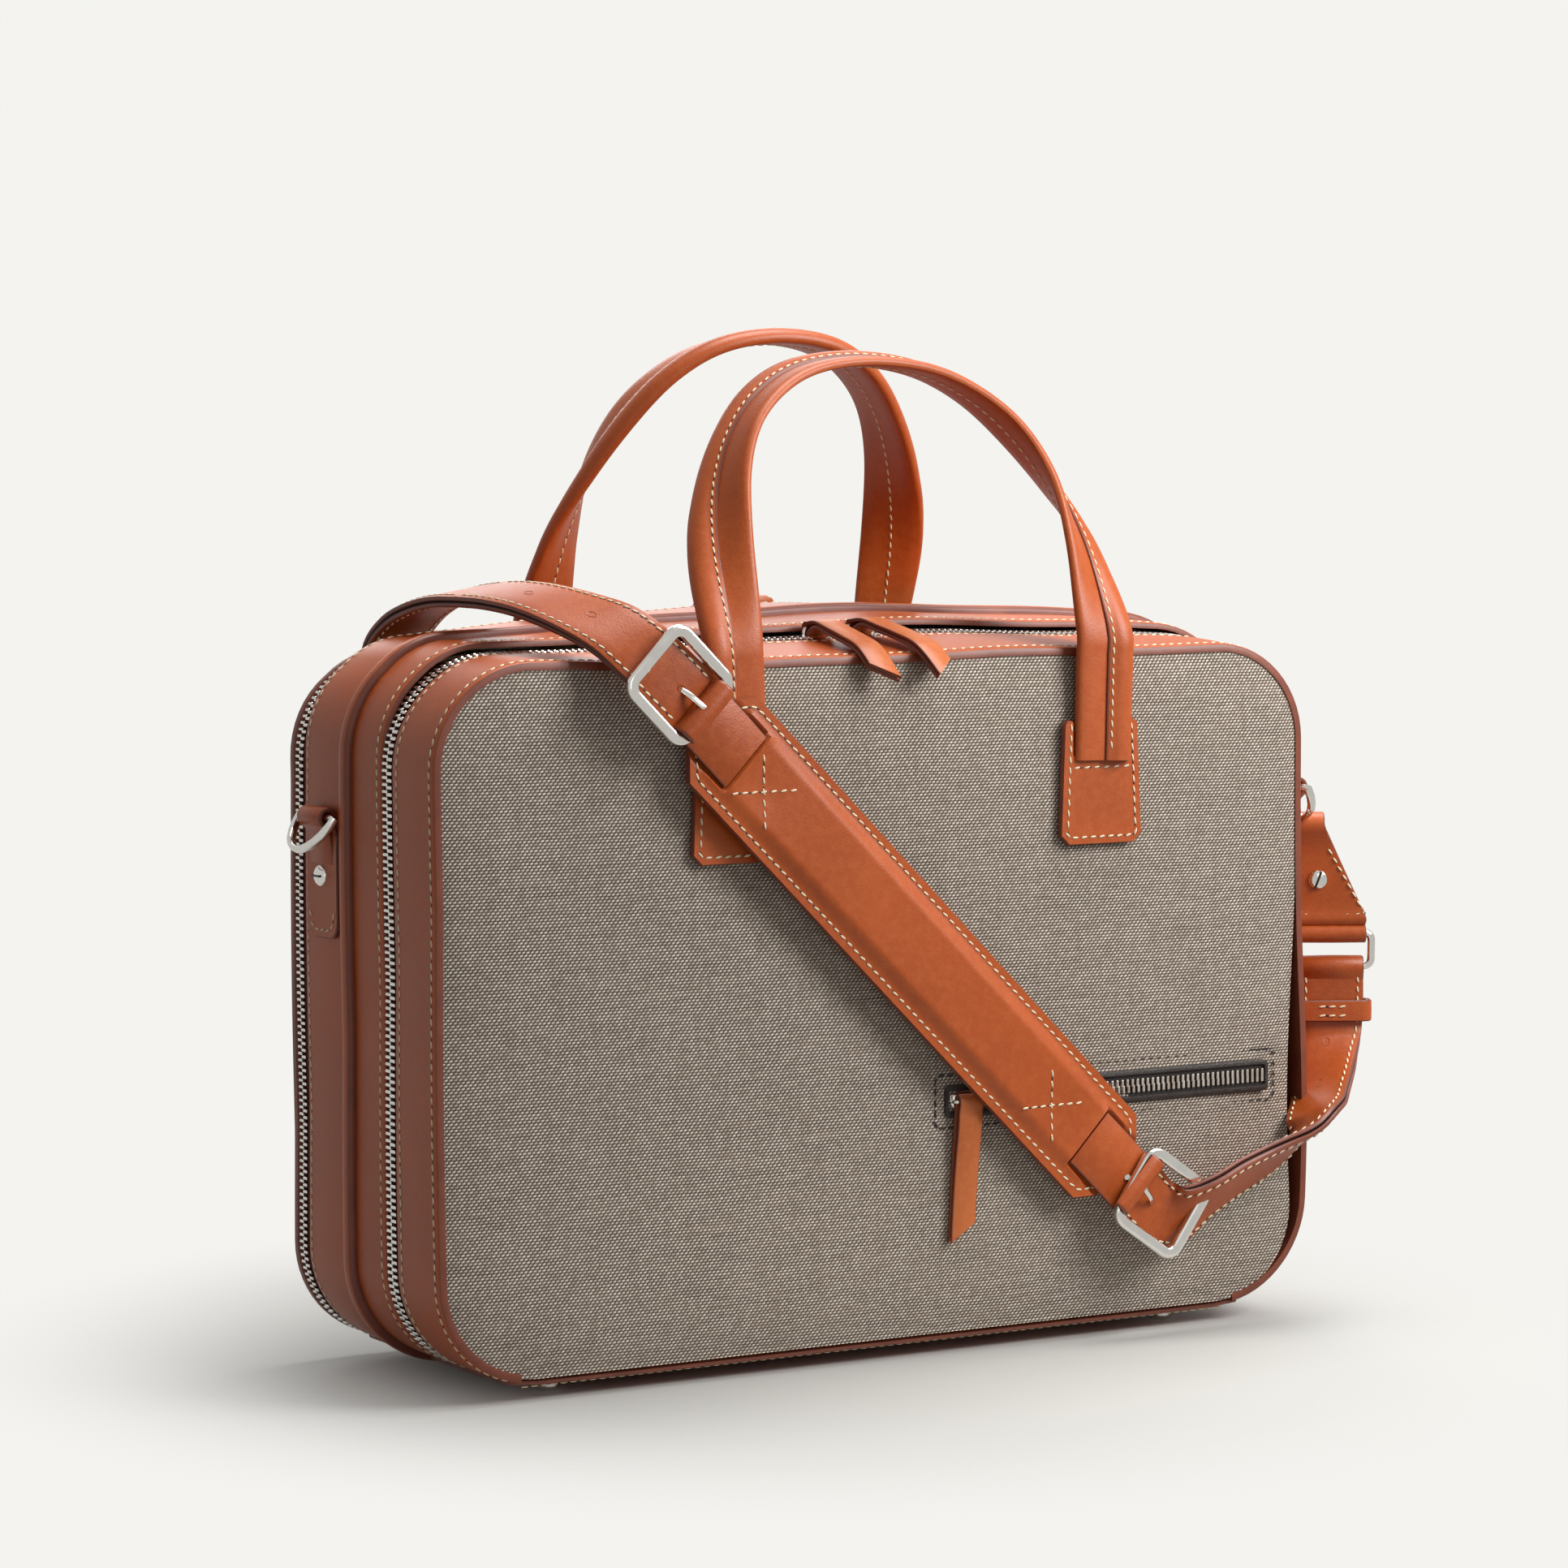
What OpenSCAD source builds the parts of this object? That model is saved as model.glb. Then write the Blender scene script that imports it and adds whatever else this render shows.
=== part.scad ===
// Two-compartment satchel: canvas panels, leather bands, two zipped covers,
// two carrying handles and a padded shoulder strap. Millimetres.
// +X is the bag's right as seen from the front, the front faces -Y and the feet stand on Z = 0.

/* [Body] */
// Width of the bag
body_w = 420; // [380:5:460]
// Height of the middle section above the floor
core_top = 299; // [280:1:320]
// Height of the front and rear covers above the floor
cover_top = 295; // [276:1:316]
// Height of the underside of the bands above the floor
body_bottom = 8; // [7:0.5:10]
// Radius of the four outer corners
corner_r = 43; // [36:1:50]
// Thickness of the band leather
leather_t = 2.4; // [2:0.1:2.6]
// Depth from the middle plane to the cover edges
half_depth = 66; // [64:0.5:68]
// How far each soft panel crowns out past its edge
panel_crown = 3.5; // [3:0.1:4]

/* [Zips] */
// Depth of the front zip's middle line
front_zip_y = -25; // [-27:0.5:-24]
// Depth of the rear zip's middle line
rear_zip_y = 57.6; // [57.4:0.1:57.8]
// Distance of each slider from the middle of the bag
slider_x = 10.5; // [9.5:0.5:14]
// Length of a leather pull
pull_len = 56; // [50:1:58]

/* [Handles] */
// Distance of each front handle leg from the handle's middle
front_leg_x = 89; // [84:1:92]
// Distance of each rear handle leg from the handle's middle
rear_leg_x = 84; // [80:1:90]
// Height of the slot where a leg enters its tab
leg_z = 250; // [240:1:256]
// Height of the front handle's peak
front_handle_top = 415; // [400:1:420]
// Height of the rear handle's peak
rear_handle_top = 425; // [405:1:430]
// Width of the handle strap
handle_w = 28; // [24:1:30]
// Thickness of the handle strap
handle_t = 4; // [3:0.2:4.4]
// Sideways place of the front handle's middle
front_handle_x = 12; // [8:1:14]
// Sideways place of the rear handle's middle, to the left
rear_handle_x = 4; // [0:1:8]

/* [Shoulder strap] */
// Width of the strap
strap_w = 28; // [24:1:29]
// Thickness of the doubled strap
strap_t = 4.2; // [3:0.2:4.4]
// Length of the shoulder pad
pad_len = 284; // [270:2:290]
// Width of the shoulder pad
pad_w = 46; // [42:1:48]
// Thickness of the shoulder pad
pad_t = 6; // [5:0.5:7]
// Slope of the pad across the front
pad_slope = 44.5; // [43:0.5:46]

/* [Pocket] */
// Left end of the pocket zip
pocket_x0 = 26; // [24:1:30]
// Right end of the pocket zip
pocket_x1 = 188; // [180:1:190]
// Height of the pocket zip
pocket_z = 107; // [104:1:110]

/* [Hidden] */
$fn = 48;

tan_leather = "#C4622D";
edge_paint = "#8A4A38";
taupe = "#8C8478";
nickel = "#D8D8D4";
dark_tape = "#5A241C";
lining_tan = "#B79A74";
board_grey = "#6E675E";

// Half of the base strip's length, and where the cover bands stop beside it
base_half = 172;
band_gap_half = 174;
// Gap left between the two rows of teeth, filled by each slider's post
teeth_gap = 1.6;
tooth_w = 3.2;
// Inset of a zip tape under the band leather
tape_inset = leather_t + 0.3;
tape_t = 0.8;
panel_face = half_depth + panel_crown;
tab_t = 2.4;
tab_y = panel_face + 0.7;
leg_y = panel_face + 3.4;
foot_x = 151;
foot_y = 44;
foot_places = [[-foot_x, -foot_y], [foot_x, -foot_y], [-foot_x, foot_y], [foot_x, foot_y], [0, 0]];
ring_bar_r = 1.75;
ring_z = 230;
left_ring_y = 31;
right_ring_y = -49;
left_drop = 55;
right_drop = 62;

function unit(v) = v / norm(v);
function last(v) = v[len(v) - 1];

// Direction of a path at point i
function heading(p, i) = unit(p[min(i + 1, len(p) - 1)] - p[max(i - 1, 0)]);

// Corner points of a flat strap that follows p, with its width along w[i] at point i
function strap_points(p, w, width, thick) = [
    for (i = [0 : len(p) - 1])
        let (t = heading(p, i), across = unit(w[i] - (w[i] * t) * t), n = cross(t, across))
        for (c = [[-1, -1], [1, -1], [1, 1], [-1, 1]])
            p[i] + across * c[0] * width / 2 + n * c[1] * thick / 2
];

// Triangles between the rings of four corners, and the two end caps
function strap_faces(n) = concat(
    [for (i = [0 : n - 2]) for (k = [0 : 3]) [4 * i + k, 4 * i + 4 + (k + 1) % 4, 4 * i + (k + 1) % 4]],
    [for (i = [0 : n - 2]) for (k = [0 : 3]) [4 * i + k, 4 * i + 4 + k, 4 * i + 4 + (k + 1) % 4]],
    [[0, 1, 2], [0, 2, 3]],
    [[4 * n - 4, 4 * n - 2, 4 * n - 3], [4 * n - 4, 4 * n - 1, 4 * n - 2]]
);

module flat_strap(p, w, width, thick) {
    polyhedron(strap_points(p, w, width, thick), strap_faces(len(p)), convexity = 6);
}

// Rounded rectangle made of true arcs
module rounded(w, h, r) {
    square([w - 2 * r, h], center = true);
    square([w, h - 2 * r], center = true);
    for (x = [-1, 1]) {
        for (y = [-1, 1]) {
            translate([x * (w / 2 - r), y * (h / 2 - r)]) circle(r);
        }
    }
}

// Front view outline of the bag, drawn in by inset
module outline(inset, top) {
    height = top - body_bottom;
    translate([0, body_bottom + height / 2])
        rounded(body_w - 2 * inset, height - 2 * inset, corner_r - inset);
}

// Extrudes a front view shape from depth y0 to depth y1
module slab(y0, y1) {
    translate([0, y1, 0]) rotate([90, 0, 0]) linear_extrude(y1 - y0) children();
}

// Band round the left, top and right of the bag, open along the base between -stop and stop
module band(y0, y1, outer, inner, top, stop) {
    slab(y0, y1) {
        difference() {
            outline(outer, top);
            outline(inner, top);
            translate([-stop, 0]) square([2 * stop, 40]);
        }
    }
}

// One half of a zip: a tape with its row of teeth on the edge
module zip_half(tape_y, teeth_y0, teeth_y1, top, stop) {
    y_far = tape_y < teeth_y0 ? teeth_y1 : teeth_y0;
    band(min(tape_y, y_far), max(tape_y, y_far), tape_inset, tape_inset + tape_t, top, stop);
    band(teeth_y0, teeth_y1, tape_inset - 0.8, tape_inset + 1.6, top, stop);
}

module foot_holes() {
    for (q = foot_places) {
        translate([q[0], q[1], 0]) cylinder(h = 20, r = 1.7);
    }
}

module base_strip() {
    color(tan_leather) difference() {
        translate([-base_half, -half_depth + 0.5, 5])
            cube([2 * base_half, 2 * half_depth - 1, body_bottom - 5]);
        foot_holes();
    }
}

module base_board() {
    color(board_grey) difference() {
        translate([-base_half + 12, -58, body_bottom + 0.2]) cube([2 * base_half - 24, 116, 3]);
        foot_holes();
    }
}

module base_feet() {
    color(nickel) for (q = foot_places) {
        translate([q[0], q[1], 0]) rotate_extrude() polygon(concat(
            [[0, 0], [3.4, 0]],
            [for (a = [0 : 15 : 90]) [3.4 + 2 * sin(a), 2 - 2 * cos(a)]],
            [[5.4, 4.8], [1.5, 4.8], [1.5, 11.6], [4.5, 11.6], [4.5, 12.6], [0, 12.6]]
        ));
    }
}

module core_front_band() {
    color(tan_leather) band(-16, 7, 0, leather_t, core_top, 160);
}

module core_welt() {
    color(edge_paint) band(7, 14.6, -2.4, leather_t, core_top, band_gap_half);
}

module core_rear_band() {
    color(tan_leather) difference() {
        band(14.6, 51.6, 0, leather_t, core_top, 160);
        translate([-body_w / 2 - 1, left_ring_y, 206]) rotate([0, 90, 0]) cylinder(h = 6, r = 1.7);
    }
}

module divider_board() {
    color(board_grey) slab(9.4, 12.4) difference() {
        outline(leather_t + 1.6, core_top);
        translate([-200, 0]) square([400, 13]);
    }
}

module core_lining() {
    color(lining_tan) {
        band(-11, 6.4, leather_t + 0.3, leather_t + 1.1, core_top, 163);
        band(15.4, 49, leather_t + 0.3, leather_t + 1.1, core_top, 163);
    }
}

module front_zip_core_half() {
    color(dark_tape)
        zip_half(-11.5, front_zip_y + teeth_gap / 2, front_zip_y + teeth_gap / 2 + tooth_w, cover_top, 176);
}

module rear_zip_core_half() {
    color(dark_tape)
        zip_half(49.6, rear_zip_y - 0.6 - 2.4, rear_zip_y - 0.6, cover_top, 176);
}

// Round-bottomed tab on a side wall, with a rolled loop at its top for a D-ring; drawn for the right side
module ring_tab(y) {
    difference() {
        union() {
            translate([body_w / 2 + 0.3, y, 0]) rotate([90, 0, 90]) linear_extrude(tab_t) {
                translate([0, 205]) rounded(30, 50, 9);
                translate([-11, 212]) square([22, 20]);
            }
            translate([body_w / 2 + 4.7, y + 11, ring_z]) rotate([90, 0, 0]) cylinder(h = 22, r = 4.4);
        }
        translate([body_w / 2 + 4.7, y + 20, ring_z]) rotate([90, 0, 0])
            cylinder(h = 40, r = ring_bar_r + 0.35);
        translate([body_w / 2 - 1, y, 206]) rotate([0, 90, 0]) cylinder(h = 8, r = 1.7);
    }
}

// Slotted dome screw that goes through a tab into the band behind it
module ring_screw(y) {
    difference() {
        translate([body_w / 2 + 0.3 + tab_t + 0.1, y, 206]) rotate([0, 90, 0])
            rotate_extrude() polygon([[0, 0], [4.4, 0], [4.4, 0.9], [3.2, 2], [1.6, 2.5], [0, 2.6]]);
        translate([body_w / 2 + tab_t + 1.8, y - 6, 205.5]) cube([4, 12, 1]);
    }
    translate([body_w / 2 - 2.6, y, 206]) rotate([0, 90, 0]) cylinder(h = 5.5, r = 1.5);
}

// Half-round ring hung from its straight bar; drop is its angle below the horizontal
module d_ring(y, drop, grow) {
    translate([body_w / 2 + 4.7, y, ring_z]) rotate([0, drop, 0]) {
        translate([0, 16, 0]) rotate([90, 0, 0]) cylinder(h = 32, r = ring_bar_r + grow);
        rotate([0, 0, -90]) rotate_extrude(angle = 180) translate([16, 0]) circle(ring_bar_r + grow);
        for (e = [-16, 16]) {
            translate([0, e, 0]) sphere(ring_bar_r + grow);
        }
    }
}

module left_ring_tab() {
    color(tan_leather) mirror([1, 0, 0]) ring_tab(left_ring_y);
}

module left_ring_screw() {
    color(nickel) mirror([1, 0, 0]) ring_screw(left_ring_y);
}

module left_d_ring() {
    color(nickel) mirror([1, 0, 0]) d_ring(left_ring_y, left_drop, 0);
}

module right_ring_tab() {
    color(tan_leather) ring_tab(right_ring_y);
}

module right_ring_screw() {
    color(nickel) ring_screw(right_ring_y);
}

module right_d_ring() {
    color(nickel) d_ring(right_ring_y, right_drop, 0);
}

// Soft crowned panel: canvas over padding, drawn as one closed cushion
module canvas_panel(top) {
    slab(-panel_face, -half_depth + 3.4) difference() {
        outline(leather_t + 0.9, top);
        translate([-150, body_bottom]) square([300, 3.6]);
    }
}

module front_canvas_panel() {
    color(taupe) difference() {
        canvas_panel(cover_top);
        pocket_opening();
    }
}

module pocket_opening() {
    translate([pocket_x0 - 3, -80, pocket_z - 8]) cube([pocket_x1 - pocket_x0 + 6, 30, 16]);
}

module front_lining() {
    color(lining_tan) difference() {
        slab(-62.2, -61.2) outline(leather_t + 2, cover_top);
        pocket_opening();
        translate([-base_half, -70, 0]) cube([2 * base_half, 20, 16]);
    }
}

module front_band() {
    color(tan_leather) difference() {
        band(-half_depth, -34.2, 0, leather_t, cover_top, band_gap_half);
        translate([body_w / 2 - 5, right_ring_y, 206]) rotate([0, 90, 0]) cylinder(h = 6, r = 1.7);
    }
}

module front_zip_cover_half() {
    color(dark_tape)
        zip_half(-39, front_zip_y - teeth_gap / 2 - tooth_w, front_zip_y - teeth_gap / 2, cover_top, 176);
}

// Stitched tab with a U-shaped cut where the handle leg goes in; drawn at the front
module handle_tab(x) {
    slab(-tab_y - tab_t, -tab_y) translate([x, 0]) difference() {
        translate([0, leg_z - 14]) rounded(37, 52, 6);
        translate([-handle_w / 2 - 0.8, leg_z - 1.4]) square([handle_w + 1.6, 30]);
    }
}

module front_handle_tabs() {
    color(tan_leather) for (s = [-1, 1]) {
        handle_tab(front_handle_x + s * front_leg_x);
    }
}

// Course of a handle for its leg distance and its peak: straight legs, then a rounded top
leg_rise = 50;
function arch_x(a, leg) = sign(cos(a)) * (leg + 2) * pow(abs(cos(a)), 0.9);
function arch_z(a, top) = leg_z + leg_rise + (top - leg_z - leg_rise) * pow(sin(a), 0.9);
// Legs stand straight up past the bag's edge at this height and then lean in over the top
lean_from = 299;
function lean(z, top) = 50 * pow(max(0, z - lean_from) / (top - lean_from), 1.1);
function leg_path(s, leg) = [
    for (z = [leg_z : 12.5 : leg_z + leg_rise - 1]) [s * (leg + 2 * (z - leg_z) / leg_rise), z]
];
function arch_path(leg, top) = concat(
    leg_path(-1, leg),
    [for (a = [180 : -9 : 0]) [arch_x(a, leg), arch_z(a, top)]],
    [for (i = [3 : -1 : 0]) leg_path(1, leg)[i]]
);
// How far round the strap has turned from lying flat on the panel to lying flat on top
function turn(z, top) = 90 * min(1, max(0, (z - 306) / (top - 16 - 306)));
function handle_points(leg, top) = [for (q = arch_path(leg, top)) [q[0], -leg_y + lean(q[1], top), q[1]]];
function handle_widths(leg, top) = [
    for (q = arch_path(leg, top)) let (a = turn(q[1], top))
        q[1] > top - 20 ? [0, -1, 0] : [(q[0] < 0 ? 1 : -1) * cos(a), -sin(a), 0]
];

module handle(x, leg, top) {
    translate([x, 0, 0]) flat_strap(handle_points(leg, top), handle_widths(leg, top), handle_w, handle_t);
}

module front_handle() {
    color(tan_leather) handle(front_handle_x, front_leg_x, front_handle_top);
}

module pocket_welt() {
    color("#2E2622") slab(-panel_face - 0.4, -half_depth + 3.4) translate([(pocket_x0 + pocket_x1) / 2, pocket_z])
        difference() {
            square([pocket_x1 - pocket_x0 + 5.4, 15.4], center = true);
            square([pocket_x1 - pocket_x0, 10.4], center = true);
        }
}

module pocket_bag() {
    color(lining_tan) translate([pocket_x0 - 6, -60.8, 26]) cube([pocket_x1 - pocket_x0 + 12, 2.4, 92]);
}

// Closed pocket zip: two taped rows of teeth with the slider's slot between them
module pocket_zip() {
    color(nickel) for (s = [-1, 1]) {
        slab(-half_depth - 0.8, -half_depth) translate([pocket_x0 + 0.2, pocket_z + (s > 0 ? 0.7 : -5.1)])
            square([pocket_x1 - pocket_x0 - 0.4, 4.4]);
        slab(-half_depth - 1.4, -half_depth - 0.8) translate([pocket_x0 + 0.2, pocket_z + (s > 0 ? 0.7 : -3.3)])
            square([pocket_x1 - pocket_x0 - 0.4, 2.6]);
    }
}

// Zip slider drawn flat: plates above and below the teeth, a post between the rows and a bail across the top.
// It lies along X with its top towards +Z and the middle of the teeth at the origin
bail_h = 4.5;
bail_hole_r = 1.7;
bail_loop_r = 2.9;
pull_w = 10;
module slider(half_w, above, below) {
    translate([0, 0, above]) linear_extrude(1.2) rounded(14, 2 * half_w, 2.5);
    translate([0, 0, -below - 1.2]) linear_extrude(1.2) rounded(13, 2 * half_w - 1, 2.5);
    translate([-2, -0.45, -below - 0.2]) cube([4, 0.9, above + below + 0.4]);
    translate([0, 1, above]) rotate([90, 0, 0]) linear_extrude(2) difference() {
        translate([-7, 0.6]) square([14, bail_h + 0.3]);
        translate([-5.5, 0]) square([11, bail_h - 0.9]);
    }
}

module pocket_slider() {
    color(nickel) translate([pocket_x0 + 8, -half_depth - 0.6, pocket_z]) rotate([90, 0, 0])
        slider(4.4, 1.2, 1.4);
}

// Doubled leather pull folded over a bail and hanging down, with a slanted end
module hanging_pull(length) {
    difference() {
        union() {
            translate([-pull_w / 2, -1.6, -length]) cube([pull_w, 3.2, length]);
            translate([-pull_w / 2, 0, 0]) rotate([0, 90, 0]) cylinder(h = pull_w, r = bail_loop_r);
        }
        translate([-7, 0, 0]) rotate([0, 90, 0]) cylinder(h = 14, r = bail_hole_r);
        translate([-5.6, -5, -length]) rotate([0, -40, 0]) translate([-20, 0, -20]) cube([40, 10, 20]);
    }
}

module pocket_pull() {
    color(tan_leather) translate([pocket_x0 + 8, -half_depth - 1.8 - bail_h, pocket_z]) hanging_pull(pull_len);
}

// Doubled leather pull seen from its side and extruded to its width; points are height and depth from its bail
module side_pull(line) {
    translate([pull_w / 2, 0, 0]) rotate([0, -90, 0]) linear_extrude(pull_w) difference() {
        union() {
            polygon(line);
            circle(bail_loop_r);
        }
        circle(bail_hole_r);
    }
}

// Pull that lies over the top edge of the front cover and hangs in front of it
front_pull_line = [
    [bail_loop_r, 0], [6.4, -14], [6.8, -26], [4.8, -36], [0.2, -45], [-8, -51], [-22, -53.4],
    [-22, -50.2], [-9.6, -48], [-3, -43.6], [1.2, -36], [3.6, -26], [3.2, -14], [-bail_loop_r, 0]
];
// Pull that hangs behind the rear panel
rear_pull_line = [
    [bail_loop_r, 0], [4, 5], [2.5, 10], [-2, 14], [-10, 16.4], [-46, 17], [-50, 17],
    [-46, 13.8], [-10, 13.2], [-4, 11.6], [-0.5, 8], [-bail_loop_r, 0]
];
bail_z = cover_top - tape_inset - 0.4 + 2 + bail_h;

module front_slider(x) {
    translate([x, front_zip_y, cover_top - tape_inset - 0.4]) slider(4.6, 2, 2);
}

module front_pull(x, swing) {
    translate([x, front_zip_y, bail_z]) rotate([0, 0, swing]) side_pull(front_pull_line);
}

module front_left_slider() {
    color(nickel) front_slider(-slider_x);
}

module front_right_slider() {
    color(nickel) front_slider(slider_x);
}

module front_left_pull() {
    color(tan_leather) front_pull(-slider_x, 5);
}

module front_right_pull() {
    color(tan_leather) front_pull(slider_x, 5);
}

// Middle of the pad on the front, and the frame that its pieces are laid out in:
// +X runs down the pad, +Y is away from the bag and +Z is towards its upper edge
pad_mid = [5, -79.4, 171];
pad_tilt = 0.35;
module on_pad() {
    translate(pad_mid) rotate([0, pad_slope, 0]) rotate([0, 0, pad_tilt]) rotate([90, 0, 0]) children();
}

// A point in that frame: u along the pad, v towards its upper edge, w away from the bag
function pad_point(u, v, w) = pad_mid + [
    u * cos(pad_slope) + v * sin(pad_slope), u * sin(pad_tilt) - w, -u * sin(pad_slope) + v * cos(pad_slope)
];

module clipped_plate(length, width, clip) {
    polygon([
        [-length / 2, -width / 2 + clip], [-length / 2 + clip, -width / 2],
        [length / 2 - clip, -width / 2], [length / 2, -width / 2 + clip],
        [length / 2, width / 2 - clip], [length / 2 - clip, width / 2],
        [-length / 2 + clip, width / 2], [-length / 2, width / 2 - clip]
    ]);
}

module shoulder_pad() {
    color(tan_leather) on_pad() translate([0, 0, -pad_t / 2]) difference() {
        linear_extrude(pad_t) clipped_plate(pad_len, pad_w, 12);
        for (s = [-1, 1]) {
            translate([s * pad_len / 2, 0, pad_t - 2.4 + 5]) cube([50, strap_w + 1, 10], center = true);
        }
    }
}

// Place of a buckle's middle along the pad, its height above the pad's middle plane, and its hinge bar
buckle_u = pad_len / 2 + 21.3;
buckle_lift = 4.2;
bar_u = buckle_u - 15.9;
bar_w = buckle_lift + 1.7;

// Strap end that comes out of a notch in the pad and loops round a buckle's bar
module tongue(s) {
    on_pad() mirror([s < 0 ? 1 : 0, 0, 0]) difference() {
        union() {
            translate([pad_len / 2 - 24, -strap_w / 2, 0.8]) cube([bar_u - pad_len / 2 + 24, strap_w, 2.1]);
            translate([bar_u, strap_w / 2, bar_w]) rotate([90, 0, 0]) cylinder(h = strap_w, r = 5);
        }
        translate([bar_u, strap_w, bar_w]) rotate([90, 0, 0]) cylinder(h = 2 * strap_w, r = 3.1);
        translate([bar_u - 4.7, -2.5, -2]) cube([20, 5, 20]);
    }
}

module upper_tongue() {
    color(tan_leather) tongue(-1);
}

module lower_tongue() {
    color(tan_leather) tongue(1);
}

// Rounded square frame that the strap is buckled through
module buckle(s) {
    on_pad() translate([s * buckle_u, 0, buckle_lift]) difference() {
        linear_extrude(3.4) rounded(36, 38, 6);
        translate([0, 0, -1]) linear_extrude(6) rounded(27.6, 29.6, 2.5);
    }
}

// Prong hinged on the buckle's bar, with its tip over the strap's hole
module prong(s) {
    on_pad() mirror([s < 0 ? 1 : 0, 0, 0]) translate([bar_u, 0, bar_w]) {
        difference() {
            translate([0, 2, 0]) rotate([90, 0, 0]) cylinder(h = 4, r = 4.1);
            translate([0, 3, 0]) rotate([90, 0, 0]) cylinder(h = 6, r = 3.1);
        }
        translate([2.5, -1.25, 1.7]) cube([11.5, 2.5, 1.5]);
    }
}

module upper_buckle() {
    color(nickel) buckle(-1);
}

module lower_buckle() {
    color(nickel) buckle(1);
}

module upper_prong() {
    color(nickel) prong(-1);
}

module lower_prong() {
    color(nickel) prong(1);
}

// Upper strap: from its buckle over the top of the bag and down behind it
upper_route_front = [
    pad_point(-bar_u - 7, 0, 0.9), pad_point(-buckle_u - 8, 0, 0.9), pad_point(-buckle_u - 18, 0, 0.2),
    [-132, -71, 307], [-139, -55, 313], [-146, -34, 318], [-150, -14, 320], [-152, 3.6, 320]
];
upper_across_front = [
    [0.7, 0, 0.71], [0.7, 0, 0.71], [0.72, 0.08, 0.68],
    [0.78, 0.2, 0.56], [0.85, 0.27, 0.42], [0.9, 0.27, 0.3], [0.93, 0.22, 0.24], [0.95, 0.16, 0.2]
];
upper_route_rear = [
    [-152, 4.4, 320], [-154, 24, 318], [-156, 43, 313.5], [-157, 60, 306.5], [-158, 73.4, 295], [-158, 78.2, 279],
    [-158, 78.5, 262], [-158, 78.5, 244], [-158, 78.5, 225.5]
];
upper_across_rear = [
    [0.95, 0.16, 0.2], [0.96, 0.1, 0.14], [0.97, 0.06, 0.1], [0.98, 0.03, 0.06], [0.99, 0, 0.03], [1, 0, 0],
    [1, 0, 0], [1, 0, 0], [1, 0, 0]
];
// Turn of the right end of the strap about the vertical, and the direction of its width there
end_turn = -31;
end_across = [cos(end_turn), sin(end_turn), 0];
// Lower strap: from its buckle round below the right edge and up to its ring
lower_route = [
    pad_point(bar_u + 7, 0, 0.9), pad_point(buckle_u + 8, 0, 0.9), [139, -81.5, 51], [152.8, -84.5, 58.5],
    [167.8, -84.5, 66], [180.7, -84.5, 71.8], [194, -85.5, 77.5], [203, -86, 82.5], [210, -83.5, 88],
    [221, -73, 94], [228, -63, 102.5], [235, -54, 112.5], [239.2, -49.4, 121], [239.8, -49, 133], [239.8, -49, 145.9]
];
lower_across = [
    [0.7, 0, 0.71], [0.7, 0, 0.71], [0.3, -0.3, 0.9], [-0.35, -0.62, 0.68],
    [-0.42, -0.67, 0.6], [-0.4, -0.7, 0.58], [-0.35, -0.8, 0.45], [-0.2, -0.92, 0.33], [0.03, -0.97, 0.22],
    [0.22, -0.95, 0.17], [0.42, -0.89, 0.12], [0.68, -0.72, 0.06], [0.84, -0.54, 0.02], end_across, end_across
];

module upper_strap_front() {
    color(tan_leather) flat_strap(upper_route_front, upper_across_front, strap_w, strap_t);
}

// Loop at a strap's end, round the bar of its square ring; the bar is along X at the origin
module strap_loop() {
    difference() {
        translate([-strap_w / 2, 0, 0]) rotate([0, 90, 0]) cylinder(h = strap_w, r = 4.9);
        translate([-strap_w, 0, 0]) rotate([0, 90, 0]) cylinder(h = 2 * strap_w, r = 2.9);
    }
}

// Square ring of round bar: the strap's bar is along X at the origin, the other bar is above it
ring_half_w = 17.5;
ring_h = 15;
module square_ring() {
    for (z = [0, ring_h]) {
        translate([-ring_half_w, 0, z]) rotate([0, 90, 0]) cylinder(h = 2 * ring_half_w, r = ring_bar_r);
    }
    for (x = [-ring_half_w, ring_half_w]) {
        translate([x, 0, 0]) cylinder(h = ring_h, r = ring_bar_r);
        for (z = [0, ring_h]) {
            translate([x, 0, z]) sphere(ring_bar_r);
        }
    }
}

// Folded leather connector above a square ring, closed by a screw; the ring's bar is along X at the origin.
// Its top loop takes a D-ring
conn_h = 49;
front_skew = -13.5;
screw_at = 0.5;
module connector(skew) {
    difference() {
        union() {
            translate([0, 1.6, 0]) rotate([90, 0, 0]) linear_extrude(3.2)
                polygon([[-18, 1.5], [18, 1.5], [skew + 10, conn_h], [skew - 10, conn_h]]);
            translate([-15.2, 0, 0]) rotate([0, 90, 0]) cylinder(h = 30.4, r = 4);
            translate([skew - 10, 0, conn_h]) rotate([0, 90, 0]) cylinder(h = 20, r = 5);
        }
        translate([-20, 0, 0]) rotate([0, 90, 0]) cylinder(h = 40, r = ring_bar_r + 0.4);
        translate([skew - 14, 0, conn_h]) rotate([0, 90, 0]) cylinder(h = 28, r = 3.4);
        translate([skew * screw_at, 5, conn_h * screw_at]) rotate([90, 0, 0]) cylinder(h = 10, r = 1.7);
        translate([-19, -4, -5]) cube([3.8, 8, 9]);
        translate([15.2, -4, -5]) cube([3.8, 8, 9]);
    }
}

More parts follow.
